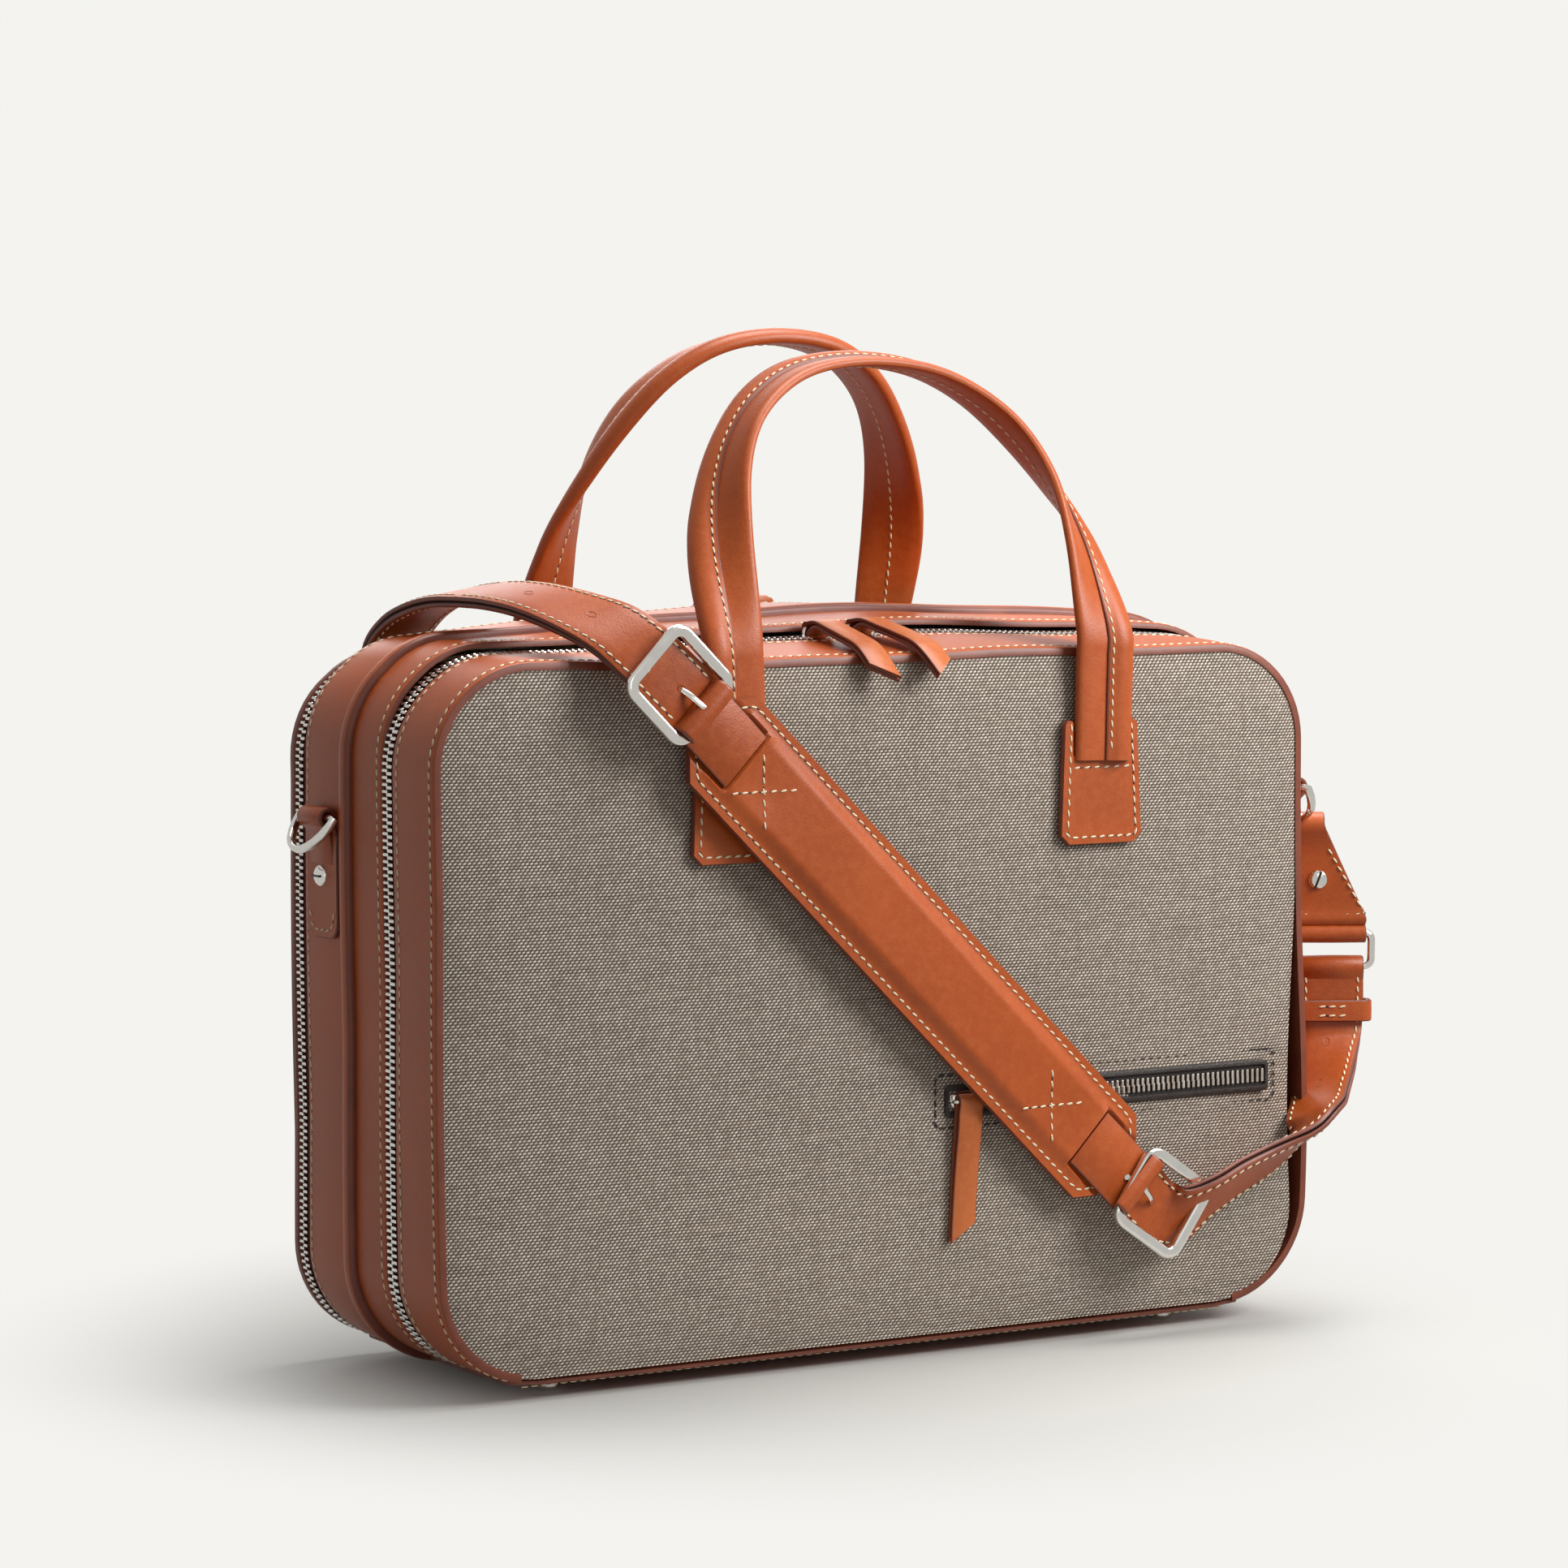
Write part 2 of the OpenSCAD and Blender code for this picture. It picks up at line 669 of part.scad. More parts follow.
module connector_screw(skew) {
    translate([skew * screw_at, -1.7, conn_h * screw_at]) rotate([90, 0, 0]) difference() {
        rotate_extrude() polygon([[0, 0], [4, 0], [4, 0.9], [3, 1.8], [1.4, 2.2], [0, 2.3]]);
        translate([-6, -0.5, 1.4]) cube([12, 1, 3]);
    }
    translate([skew * screw_at, 1.6, conn_h * screw_at]) rotate([90, 0, 0]) cylinder(h = 3.4, r = 1.5);
}

lower_ring_at = [239.8, -49, 149.5];
module at_lower_ring() {
    translate(lower_ring_at) rotate([0, 0, end_turn]) rotate([7.2, 0, 0]) children();
}

upper_ring_at = [-158, 78.5, 222];
module at_upper_ring() {
    translate(upper_ring_at) rotate([180, 0, 0]) children();
}

module upper_strap_rear() {
    color(tan_leather) {
        flat_strap(upper_route_rear, upper_across_rear, strap_w, strap_t);
        at_upper_ring() strap_loop();
    }
}

module lower_strap() {
    color(tan_leather) {
        flat_strap(lower_route, lower_across, strap_w, strap_t);
        at_lower_ring() strap_loop();
    }
}

// Leather keeper that holds the doubled strap together
module keeper() {
    difference() {
        cube([strap_w + 6, 11, 10], center = true);
        cube([strap_w + 1.6, 6.4, 12], center = true);
    }
}

module lower_keeper() {
    color(tan_leather) translate([239.7, -49, 130]) rotate([0, 0, end_turn]) keeper();
}

module upper_keeper() {
    color(tan_leather) translate([-158, 78.5, 248]) keeper();
}

module lower_square_ring() {
    color(nickel) at_lower_ring() square_ring();
}

module lower_connector() {
    color(tan_leather) difference() {
        at_lower_ring() translate([0, 0, ring_h]) connector(front_skew);
        d_ring(right_ring_y, right_drop, 0.35);
    }
}

module lower_connector_screw() {
    color(nickel) at_lower_ring() translate([0, 0, ring_h]) connector_screw(front_skew);
}

module upper_square_ring() {
    color(nickel) at_upper_ring() square_ring();
}

module upper_connector() {
    color(tan_leather) at_upper_ring() translate([0, 0, ring_h]) connector(0);
}

module upper_connector_screw() {
    color(nickel) at_upper_ring() translate([0, 0, ring_h]) connector_screw(0);
}

// Turns a piece drawn for the front so that it faces the rear
module at_rear() {
    mirror([0, 1, 0]) children();
}

module rear_canvas_panel() {
    color(taupe) at_rear() canvas_panel(cover_top);
}

module rear_lining() {
    color(lining_tan) difference() {
        slab(61.4, 62.2) outline(leather_t + 2, cover_top);
        translate([-base_half, 50, 0]) cube([2 * base_half, 20, 16]);
    }
}

module rear_band() {
    color(edge_paint) band(61.6, half_depth, 0, leather_t, cover_top, band_gap_half);
}

module rear_zip_cover_half() {
    color(dark_tape) zip_half(62.6, rear_zip_y + 0.6, rear_zip_y + 0.6 + 2.4, cover_top, 176);
}

module rear_handle_tabs() {
    color(tan_leather) at_rear() for (s = [-1, 1]) {
        handle_tab(-rear_handle_x + s * rear_leg_x);
    }
}

module rear_handle() {
    color(tan_leather) at_rear() handle(-rear_handle_x, rear_leg_x, rear_handle_top);
}

module rear_slider(x) {
    translate([x, rear_zip_y, cover_top - tape_inset - 0.4]) slider(3.2, 2, 2);
}

module rear_left_slider() {
    color(nickel) rear_slider(-slider_x);
}

module rear_right_slider() {
    color(nickel) rear_slider(slider_x);
}

module rear_pull(x) {
    translate([x, rear_zip_y, bail_z]) side_pull(rear_pull_line);
}

module rear_left_pull() {
    color(tan_leather) rear_pull(-slider_x);
}

module rear_right_pull() {
    color(tan_leather) rear_pull(slider_x);
}

base_strip();
base_board();
base_feet();
core_front_band();
core_welt();
core_rear_band();
divider_board();
core_lining();
front_zip_core_half();
rear_zip_core_half();
left_ring_tab();
left_ring_screw();
left_d_ring();
front_canvas_panel();
front_lining();
front_band();
front_zip_cover_half();
front_handle_tabs();
front_handle();
right_ring_tab();
right_ring_screw();
right_d_ring();
pocket_welt();
pocket_bag();
pocket_zip();
pocket_slider();
pocket_pull();
front_left_slider();
front_left_pull();
front_right_slider();
front_right_pull();
shoulder_pad();
upper_tongue();
upper_buckle();
upper_prong();
lower_tongue();
lower_buckle();
lower_prong();
upper_strap_front();
upper_strap_rear();
lower_strap();
lower_keeper();
lower_square_ring();
lower_connector();
lower_connector_screw();
upper_keeper();
upper_square_ring();
upper_connector();
upper_connector_screw();
rear_canvas_panel();
rear_lining();
rear_band();
rear_zip_cover_half();
rear_handle_tabs();
rear_handle();
rear_left_slider();
rear_left_pull();
rear_right_slider();
rear_right_pull();
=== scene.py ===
import math
import bpy
import bmesh
from mathutils import Matrix, Vector, noise


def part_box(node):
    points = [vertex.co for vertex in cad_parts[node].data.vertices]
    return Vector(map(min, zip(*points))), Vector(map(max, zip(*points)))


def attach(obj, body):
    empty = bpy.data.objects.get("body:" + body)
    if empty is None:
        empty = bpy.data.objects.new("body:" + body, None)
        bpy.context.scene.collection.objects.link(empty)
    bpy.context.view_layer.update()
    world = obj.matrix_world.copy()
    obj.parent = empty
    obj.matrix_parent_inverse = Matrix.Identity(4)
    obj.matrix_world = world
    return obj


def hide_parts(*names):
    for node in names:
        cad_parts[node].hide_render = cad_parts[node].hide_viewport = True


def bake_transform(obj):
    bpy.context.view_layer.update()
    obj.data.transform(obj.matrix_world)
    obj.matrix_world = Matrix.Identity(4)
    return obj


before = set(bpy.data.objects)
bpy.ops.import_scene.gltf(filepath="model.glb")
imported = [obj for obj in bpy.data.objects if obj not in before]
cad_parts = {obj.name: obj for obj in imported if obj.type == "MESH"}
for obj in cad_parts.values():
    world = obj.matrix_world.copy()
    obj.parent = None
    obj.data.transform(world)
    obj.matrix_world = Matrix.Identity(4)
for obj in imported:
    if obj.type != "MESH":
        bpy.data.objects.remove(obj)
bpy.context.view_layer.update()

MM = 0.001


def box_of(node):
    """A part's low and high corners in millimetres, to a tenth."""
    return [[round(v / MM, 1) for v in corner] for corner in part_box(node)]


def middle_of(node):
    """The middle of a part's box in millimetres, to a tenth."""
    return Vector([round((low + high) / 2 / MM, 1) for low, high in zip(*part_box(node))])


# Sizes of the bag, from the parts as they were cut
band_low, band_high = box_of("front_band")
core_low, core_high = box_of("core_front_band")
HALF_WIDTH, COVER_TOP, FRONT_EDGE_Y = band_high[0], band_high[2], band_low[1]
BOTTOM, CORE_TOP = core_low[2], core_high[2]
FRONT_ZIP_Y, REAR_ZIP_Y = middle_of("front_left_slider").y, middle_of("rear_left_slider").y
# Radius of the bag's corners
CORNER = 43.0
# The pad's middle, its slope down to the right, how far it leans off the panel, and its size
PAD_MID = middle_of("shoulder_pad")
PAD_SLOPE = math.radians(44.5)
PAD_TILT = math.radians(0.35)
PAD_LEN = 284.0
PAD_WIDTH = 46.0
# Distance along the pad from its middle to each buckle's middle and to its bar
BUCKLE_U = PAD_LEN / 2 + 21.3
BAR_U = BUCKLE_U - 15.9


# ---------------------------------------------------------------- materials

def linear(hex_colour):
    """An sRGB hex colour as linear RGBA."""
    parts = [int(hex_colour[i:i + 2], 16) / 255 for i in (1, 3, 5)]
    return [c / 12.92 if c <= 0.04045 else ((c + 0.055) / 1.055) ** 2.4 for c in parts] + [1.0]


def add(tree, kind, inputs=None, **settings):
    """Adds a node with its settings, then sets or links its inputs by name or number."""
    node = tree.nodes.new(kind)
    for key, value in settings.items():
        setattr(node, key, value)
    for key, value in (inputs or {}).items():
        if isinstance(value, bpy.types.NodeSocket):
            tree.links.new(value, node.inputs[key])
        else:
            node.inputs[key].default_value = value
    return node


def smooth_step(t):
    t = min(1.0, max(0.0, t))
    return t * t * (3 - 2 * t)


def maths(tree, operation, a, b=0.0, c=0.0):
    return add(tree, "ShaderNodeMath", {0: a, 1: b, 2: c}, operation=operation).outputs[0]


def blend_colours(tree, factor, a, b):
    node = add(tree, "ShaderNodeMix", {"Factor": factor, 6: a, 7: b}, data_type="RGBA")
    return node.outputs[2]


def finish_of(name):
    """A new node material: its tree, its shader and the coordinates its patterns lie on."""
    mat = bpy.data.materials.new(name)
    mat.use_nodes = True
    tree = mat.node_tree
    shader = tree.nodes["Principled BSDF"]
    place = add(tree, "ShaderNodeTexCoord").outputs["Object"]
    return mat, tree, shader, place


def span(tree, value, low, high):
    """Spreads a 0 to 1 value over low to high."""
    return add(tree, "ShaderNodeMapRange", {"Value": value, 3: low, 4: high}).outputs[0]


def leather(name, main, deep, bright, rough=(0.34, 0.5), grain=0.12, creases=0.0):
    """Vegetable-tanned cowhide: slow tone changes over 60 mm, fine mottling and pores under a millimetre."""
    mat, tree, shader, place = finish_of(name)
    slow = add(tree, "ShaderNodeTexNoise", {"Vector": place, "Scale": 17.0, "Detail": 3.0, "Roughness": 0.55})
    fine = add(tree, "ShaderNodeTexNoise", {"Vector": place, "Scale": 260.0, "Detail": 4.0, "Roughness": 0.65})
    tone = blend_colours(tree, span(tree, slow.outputs[0], -0.1, 1.3), linear(deep), linear(main))
    fleck = span(tree, fine.outputs[0], -0.5, 0.7)
    tone = blend_colours(tree, fleck, tone, linear(bright))
    pores = add(tree, "ShaderNodeTexVoronoi", {"Vector": place, "Scale": 1150.0, "Randomness": 1.0})
    skin = add(tree, "ShaderNodeTexNoise", {"Vector": place, "Scale": 520.0, "Detail": 5.0, "Roughness": 0.6})
    relief = maths(tree, "ADD", maths(tree, "MULTIPLY", pores.outputs["Distance"], 0.55), skin.outputs[0])
    if creases:
        # Cross creases where the strap has been bent round its buckle
        uv = add(tree, "ShaderNodeUVMap").outputs[0]
        turned = add(tree, "ShaderNodeMapping", {"Vector": uv, "Scale": (330.0, 28.0, 1.0)}).outputs[0]
        lines = add(tree, "ShaderNodeTexNoise", {"Vector": turned, "Scale": 1.0, "Detail": 3.0, "Roughness": 0.6,
                                                 "Distortion": 0.7}).outputs[0]
        lines = span(tree, maths(tree, "ABSOLUTE", maths(tree, "SUBTRACT", lines, 0.5)), 0.0, 2.0)
        relief = maths(tree, "ADD", relief, maths(tree, "MULTIPLY", lines, creases))
        # The crease hollows are also coloured a little darker: painted shade.
        tone = blend_colours(tree, maths(tree, "MULTIPLY", maths(tree, "SUBTRACT", 0.34, lines), creases * 0.5),
                             tone, linear(deep))
    bump = add(tree, "ShaderNodeBump", {"Height": relief, "Strength": grain, "Distance": 0.0006})
    tree.links.new(tone, shader.inputs["Base Color"])
    tree.links.new(span(tree, fine.outputs[0], rough[0], rough[1]), shader.inputs["Roughness"])
    tree.links.new(bump.outputs[0], shader.inputs["Normal"])
    shader.inputs["Specular IOR Level"].default_value = 0.42
    return mat


def painted_edge(name, main, deep):
    """Burnished cut edge under several coats of edge paint: satin, a little uneven. Also used for the near-black
    painted shade in gaps, holes and slots.
    """
    mat, tree, shader, place = finish_of(name)
    uneven = add(tree, "ShaderNodeTexNoise", {"Vector": place, "Scale": 90.0, "Detail": 5.0}).outputs[0]
    tree.links.new(blend_colours(tree, span(tree, uneven, -0.3, 1.3), linear(deep), linear(main)),
                   shader.inputs["Base Color"])
    bump = add(tree, "ShaderNodeBump", {"Height": uneven, "Strength": 0.25, "Distance": 0.0008})
    tree.links.new(bump.outputs[0], shader.inputs["Normal"])
    shader.inputs["Roughness"].default_value = 0.42
    return mat


def canvas_cloth(name):
    """Heavy two-tone canvas: cream filling floats show between dark taupe warps, in rows offset by half a step."""
    mat, tree, shader, place = finish_of(name)
    axes = add(tree, "ShaderNodeSeparateXYZ", {0: place})
    sway = add(tree, "ShaderNodeTexNoise", {"Vector": place, "Scale": 22.0, "Detail": 2.0}).outputs[0]
    sway = maths(tree, "MULTIPLY", maths(tree, "SUBTRACT", sway, 0.5), 0.9)
    # One float is 2.0 mm long and its row is 1.25 mm high
    across = maths(tree, "MULTIPLY", axes.outputs["X"], 1 / (2.0 * MM))
    up = maths(tree, "ADD", maths(tree, "MULTIPLY", axes.outputs["Z"], 1 / (1.25 * MM)), sway)
    row = maths(tree, "FLOOR", up)
    shift = maths(tree, "MULTIPLY", maths(tree, "MODULO", row, 2.0), 0.5)
    across = maths(tree, "ADD", maths(tree, "ADD", across, shift), sway)
    col = maths(tree, "FLOOR", across)
    dx = maths(tree, "SUBTRACT", maths(tree, "SUBTRACT", across, col), 0.5)
    dz = maths(tree, "SUBTRACT", maths(tree, "SUBTRACT", up, row), 0.5)
    # A float is a slanted oval in its cell
    dz = maths(tree, "SUBTRACT", dz, maths(tree, "MULTIPLY", dx, 0.45))
    reach = maths(tree, "SQRT", maths(tree, "ADD", maths(tree, "MULTIPLY", maths(tree, "MULTIPLY", dx, dx), 4.6),
                                      maths(tree, "MULTIPLY", maths(tree, "MULTIPLY", dz, dz), 5.6)))
    cell = add(tree, "ShaderNodeCombineXYZ", {0: col, 1: row}).outputs[0]
    chance = add(tree, "ShaderNodeTexWhiteNoise", {"Vector": cell}, noise_dimensions="2D").outputs["Value"]
    stretch = add(tree, "ShaderNodeMapping", {"Vector": place, "Scale": (520.0, 520.0, 26.0)}).outputs[0]
    streaks = add(tree, "ShaderNodeTexNoise", {"Vector": stretch, "Scale": 1.0, "Detail": 3.0}).outputs[0]
    weft = add(tree, "ShaderNodeMapping", {"Vector": place, "Scale": (40.0, 40.0, 800.0)}).outputs[0]
    weft = add(tree, "ShaderNodeTexNoise", {"Vector": weft, "Scale": 1.0, "Detail": 2.0}).outputs[0]
    float_height = maths(tree, "SUBTRACT", 1.0, reach)
    shown = add(tree, "ShaderNodeMapRange", {"Value": float_height, 1: 0.02, 2: 0.5}).outputs[0]
    lightness = maths(tree, "ADD", maths(tree, "MULTIPLY", chance, 0.6), maths(tree, "MULTIPLY", streaks, 0.5))
    cream = blend_colours(tree, maths(tree, "ADD", lightness, -0.05), linear("#AEA191"), linear("#F4EADC"))
    ground = blend_colours(tree, maths(tree, "ADD", weft, 0.0), linear("#44382F"), linear("#86766A"))
    tone = blend_colours(tree, shown, ground, cream)
    tree.links.new(tone, shader.inputs["Base Color"])
    bump = add(tree, "ShaderNodeBump", {"Height": float_height, "Strength": 0.75, "Distance": 0.0005})
    tree.links.new(bump.outputs[0], shader.inputs["Normal"])
    shader.inputs["Roughness"].default_value = 0.86
    shader.inputs["Specular IOR Level"].default_value = 0.2
    return mat


def nickel(name, tint, rough):
    """Polished nickel plate: near mirror, with faint handling haze in patches."""
    mat, tree, shader, place = finish_of(name)
    haze = add(tree, "ShaderNodeTexNoise", {"Vector": place, "Scale": 140.0, "Detail": 6.0}).outputs[0]
    tree.links.new(span(tree, haze, rough * 0.5, rough * 1.9), shader.inputs["Roughness"])
    tree.links.new(blend_colours(tree, haze, linear(tint), linear("#F1EFEA")), shader.inputs["Base Color"])
    shader.inputs["Metallic"].default_value = 1.0
    return mat


def woven_tape(name, main, deep, step, rough=0.8):
    """Close plain weave, drawn as fine ribs each way at the given step in millimetres."""
    mat, tree, shader, place = finish_of(name)
    axes = add(tree, "ShaderNodeSeparateXYZ", {0: place})
    waves = [maths(tree, "SINE", maths(tree, "MULTIPLY", axes.outputs[k], 2 * math.pi / (step * MM)))
             for k in ("X", "Y", "Z")]
    weave = maths(tree, "ADD", maths(tree, "MULTIPLY", waves[0], waves[1]),
                  maths(tree, "ADD", maths(tree, "MULTIPLY", waves[1], waves[2]),
                        maths(tree, "MULTIPLY", waves[2], waves[0])))
    patch = add(tree, "ShaderNodeTexNoise", {"Vector": place, "Scale": 60.0, "Detail": 3.0}).outputs[0]
    factor = maths(tree, "ADD", span(tree, weave, 0.35, 0.65), maths(tree, "MULTIPLY", patch, 0.3))
    tree.links.new(blend_colours(tree, factor, linear(deep), linear(main)), shader.inputs["Base Color"])
    bump = add(tree, "ShaderNodeBump", {"Height": weave, "Strength": 0.3, "Distance": 0.0003})
    tree.links.new(bump.outputs[0], shader.inputs["Normal"])
    shader.inputs["Roughness"].default_value = rough
    return mat


# Waxed linen: two plies show as a slight ripple, warm cream
LINEN = woven_tape("waxed_linen_thread_cream", "#F2E8CC", "#D9C79C", 0.7, 0.6)
# The same thread in black-brown, sewn round the pocket and along the zip
DARK_LINEN = woven_tape("waxed_linen_thread_dark", "#2E2824", "#1C1815", 0.7, 0.6)
COGNAC = leather("veg_tan_cowhide_cognac", "#B4521B", "#98400F", "#BE6128")
STRAP = leather("veg_tan_strap_leather_creased", "#B1501B", "#8C3A10", "#BE6229", grain=0.15, creases=0.5)
PULL = leather("veg_tan_pull_leather_light", "#BC6430", "#9C4A1B", "#CA763E")
GRAINED = leather("pebbled_calf_black_brown", "#2F2723", "#1D1816", "#433A35", (0.38, 0.6), 0.5)
EDGE = painted_edge("painted_leather_edge_chestnut", "#83432E", "#66301F")
# Near-black for the open gap between a strap's two layers: painted shade.
GAP_PAINTED_SHADE = painted_edge("painted_shade_leather_gap", "#2C1510", "#1C0D0A")
CANVAS = canvas_cloth("two_tone_basket_canvas")
NICKEL = nickel("polished_nickel_plate", "#D9D7D0", 0.1)
TEETH = nickel("polished_nickel_zip_teeth", "#CFCDC6", 0.16)
BRONZE = nickel("brushed_bronze_zip_teeth", "#B39A80", 0.24)
TAPE = woven_tape("woven_zip_tape_oxblood", "#6A2418", "#3E130D", 0.9)
DARK_TAPE = woven_tape("woven_zip_tape_black", "#2A2422", "#171312", 0.9)
COTTON = woven_tape("plain_cotton_lining_sand", "#BBA078", "#94794F", 1.2, 0.9)
BOARD = woven_tape("pressed_fibre_board", "#6E655A", "#4F483F", 3.0, 0.9)
# Near-black for punched holes, needle holes and screw slots: painted shade in their depth.
HOLE_PAINTED_SHADE = painted_edge("punched_hole_shadow", "#1A0D09", "#0D0705")


# ---------------------------------------------------------------- mesh helpers

def piece(name, verts, faces, body, mats, which=None, replaces=(), sharp=40, uvs=None):
    """A new mesh piece in millimetres that rides on a body; which gives each face its material number."""
    mesh = bpy.data.meshes.new(name)
    mesh.from_pydata([Vector(v) * MM for v in verts], [], faces)
    for mat in mats:
        mesh.materials.append(mat)
    if which:
        mesh.polygons.foreach_set("material_index", which)
    if uvs:
        layer = mesh.uv_layers.new(name="UVMap")
        for loop in mesh.loops:
            layer.data[loop.index].uv = uvs[loop.vertex_index]
    mesh.update()
    tidy = bmesh.new()
    tidy.from_mesh(mesh)
    bmesh.ops.remove_doubles(tidy, verts=tidy.verts, dist=1e-7)
    bmesh.ops.recalc_face_normals(tidy, faces=tidy.faces)
    tidy.to_mesh(mesh)
    tidy.free()
    mesh.shade_smooth()
    mesh.set_sharp_from_angle(angle=math.radians(sharp))
    obj = bpy.data.objects.new(name, mesh)
    bpy.context.scene.collection.objects.link(obj)
    if body:
        settle(obj, body, replaces)
    return obj


def settle(obj, body, replaces=()):
    """Puts a finished piece on its body, or bakes it in place when it hangs between two bodies, and hides the CAD
    parts it stands for.
    """
    if isinstance(body, tuple):
        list(body)
        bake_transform(obj)
    else:
        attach(obj, body)
    if replaces:
        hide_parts(*replaces)
    return obj


# Faces of a box from two loops of four corners
BOX_FACES = [(0, 1, 2, 3), (4, 5, 6, 7), (0, 1, 5, 4), (1, 2, 6, 5), (2, 3, 7, 6), (3, 0, 4, 7)]
# Materials round a nine-point strip section: painted edges between a finished face and a finished back
STRIP_KINDS = [1, 0, 0, 1, 1, 1, 0, 1, 1]


def strip_section(half, rise, ease=0.6, fall=None, shoulder=0.4, low=-0.6, crown=0.1):
    """Nine-point section of a leather strip lying flat: eased painted edges and a slightly crowned face."""
    fall = -rise if fall is None else fall
    return [(half, shoulder), (half - ease, rise), (0, rise + crown), (-half + ease, rise), (-half, shoulder),
            (-half, low), (-half + ease, fall), (half - ease, fall), (half, low)]


def plate(loops):
    """A flat-faced plate through several loops of points: material 0 on its face, 1 on its edges and back."""
    n = len(loops[0])
    verts = [p for loop in loops for p in loop]
    walls = [(r * n + k, r * n + (k + 1) % n, (r + 1) * n + (k + 1) % n, (r + 1) * n + k)
             for r in range(len(loops) - 1) for k in range(n)]
    last = (len(loops) - 1) * n
    faces = [tuple(range(n))] + walls + [tuple(last + k for k in reversed(range(n)))]
    return verts, faces, [0] + [1] * (len(walls) + 1)


def join_parts(parts):
    """Several (verts, faces, which) groups as one."""
    verts, faces, which = [], [], []
    for v, f, w in parts:
        base = len(verts)
        verts += list(v)
        faces += [tuple(i + base for i in face) for face in f]
        which += list(w)
    return verts, faces, which


def loft(rings, kinds, closed=False, caps=0):
    """Joins rings of points. kinds gives the material of each strip of the ring; caps is the ends' material."""
    n = len(rings[0])
    verts = [p for ring in rings for p in ring]
    faces, which = [], []
    count = len(rings)
    for i in range(count if closed else count - 1):
        a, b = i * n, ((i + 1) % count) * n
        for k in range(n):
            m = (k + 1) % n
            faces.append((a + k, a + m, b + m, b + k))
            which.append(kinds[k % len(kinds)])
    if not closed:
        faces.append(tuple(range(n - 1, -1, -1)))
        faces.append(tuple(range((count - 1) * n, count * n)))
        which += [caps, caps]
    return verts, faces, which


def through(points, step=3.0):
    """A smooth line through the given vectors, which may hold any number of values, every few millimetres."""
    pts = [Vector(p) for p in points]
    out = []
    for i in range(len(pts) - 1):
        p0 = pts[max(i - 1, 0)]
        p1, p2 = pts[i], pts[i + 1]
        p3 = pts[min(i + 2, len(pts) - 1)]
        gap = (Vector(p2[:3]) - Vector(p1[:3])).length
        n = max(1, round(gap / step))
        for j in range(n):
            t = j / n
            out.append(tuple(
                0.5 * (2 * b + (c - a) * t + (2 * a - 5 * b + 4 * c - d) * t * t + (3 * b - a - 3 * c + d) * t ** 3)
                for a, b, c, d in zip(p0, p1, p2, p3)))
    out.append(tuple(pts[-1]))
    return out


class Run:
    """A strap's course: places, width directions and outward directions every few millimetres."""

    def __init__(self, points, widths, step=3.0):
        flat = through([tuple(p) + tuple(w) for p, w in zip(points, widths)], step)
        self.p = [Vector(f[:3]) for f in flat]
        self.w, self.n, self.t = [], [], []
        self.s = [0.0]
        for i, f in enumerate(flat):
            t = (self.p[min(i + 1, len(flat) - 1)] - self.p[max(i - 1, 0)]).normalized()
            w = Vector(f[3:6])
            w = (w - w.dot(t) * t).normalized()
            self.t.append(t)
            self.w.append(w)
            self.n.append(w.cross(t))
            if i:
                self.s.append(self.s[-1] + (self.p[i] - self.p[i - 1]).length)

    def at(self, i, v, n):
        return self.p[i] + self.w[i] * v + self.n[i] * n

    def body(self, profile, kinds, caps=0, shape=None):
        rings = []
        for i in range(len(self.p)):
            ring = profile if shape is None else shape(i, self.s[i], self.s[-1])
            rings.append([self.at(i, v, n) for v, n in ring])
        return loft(rings, kinds, caps=caps)

    def uvs(self, profile):
        return [(s * MM, v * MM) for s in self.s for v, _ in profile]

    def line(self, v, n, start=0.0, stop=None, flip=1):
        """A sewing line on the strap's face: points and the way the face looks."""
        stop = self.s[-1] if stop is None else stop
        keep = [i for i in range(len(self.p)) if start <= self.s[i] <= stop]
        return [(self.at(i, v, n), self.n[i] * flip) for i in keep]


# Sewing lines gathered by body and thread, then sewn all at once
sewing = {}


def sew(body, line, thread="cream"):
    if len(line) > 1:
        sewing.setdefault((body, thread), []).append(line)


def finely(line, step):
    """A sewing line with its long stretches broken into short ones; its last point is left off."""
    fine = []
    for (p, o), (q, _) in zip(line, line[1:]):
        k = max(1, round((q - p).length / step))
        fine += [(p.lerp(q, i / k), o) for i in range(k)]
    return fine


def oval_mesh(name, length, width, height, segments=8, rings=5):
    """A small closed oval, the shape that is repeated along a line."""
    bm = bmesh.new()
    bmesh.ops.create_uvsphere(bm, u_segments=segments, v_segments=rings, radius=0.5)
    bmesh.ops.transform(bm, matrix=Matrix.Diagonal((length * MM, width * MM, height * MM, 1)), verts=bm.verts)
    for face in bm.faces:
        face.smooth = True
    mesh = bpy.data.meshes.new(name)
    bm.to_mesh(mesh)
    bm.free()
    return bpy.data.objects.new(name, mesh)


def tooth_mesh(name, length, width, height):
    """A zip tooth: a waisted block with a rounded head, lying across the line it follows."""
    bm = bmesh.new()
    bmesh.ops.create_cube(bm, size=1.0)
    bmesh.ops.transform(bm, matrix=Matrix.Diagonal((width * MM, length * MM, height * MM, 1)), verts=bm.verts)
    bmesh.ops.bevel(bm, geom=bm.edges[:], offset=0.32 * MM, segments=1, affect="EDGES")
    mesh = bpy.data.meshes.new(name)
    bm.to_mesh(mesh)
    bm.free()
    return bpy.data.objects.new(name, mesh)


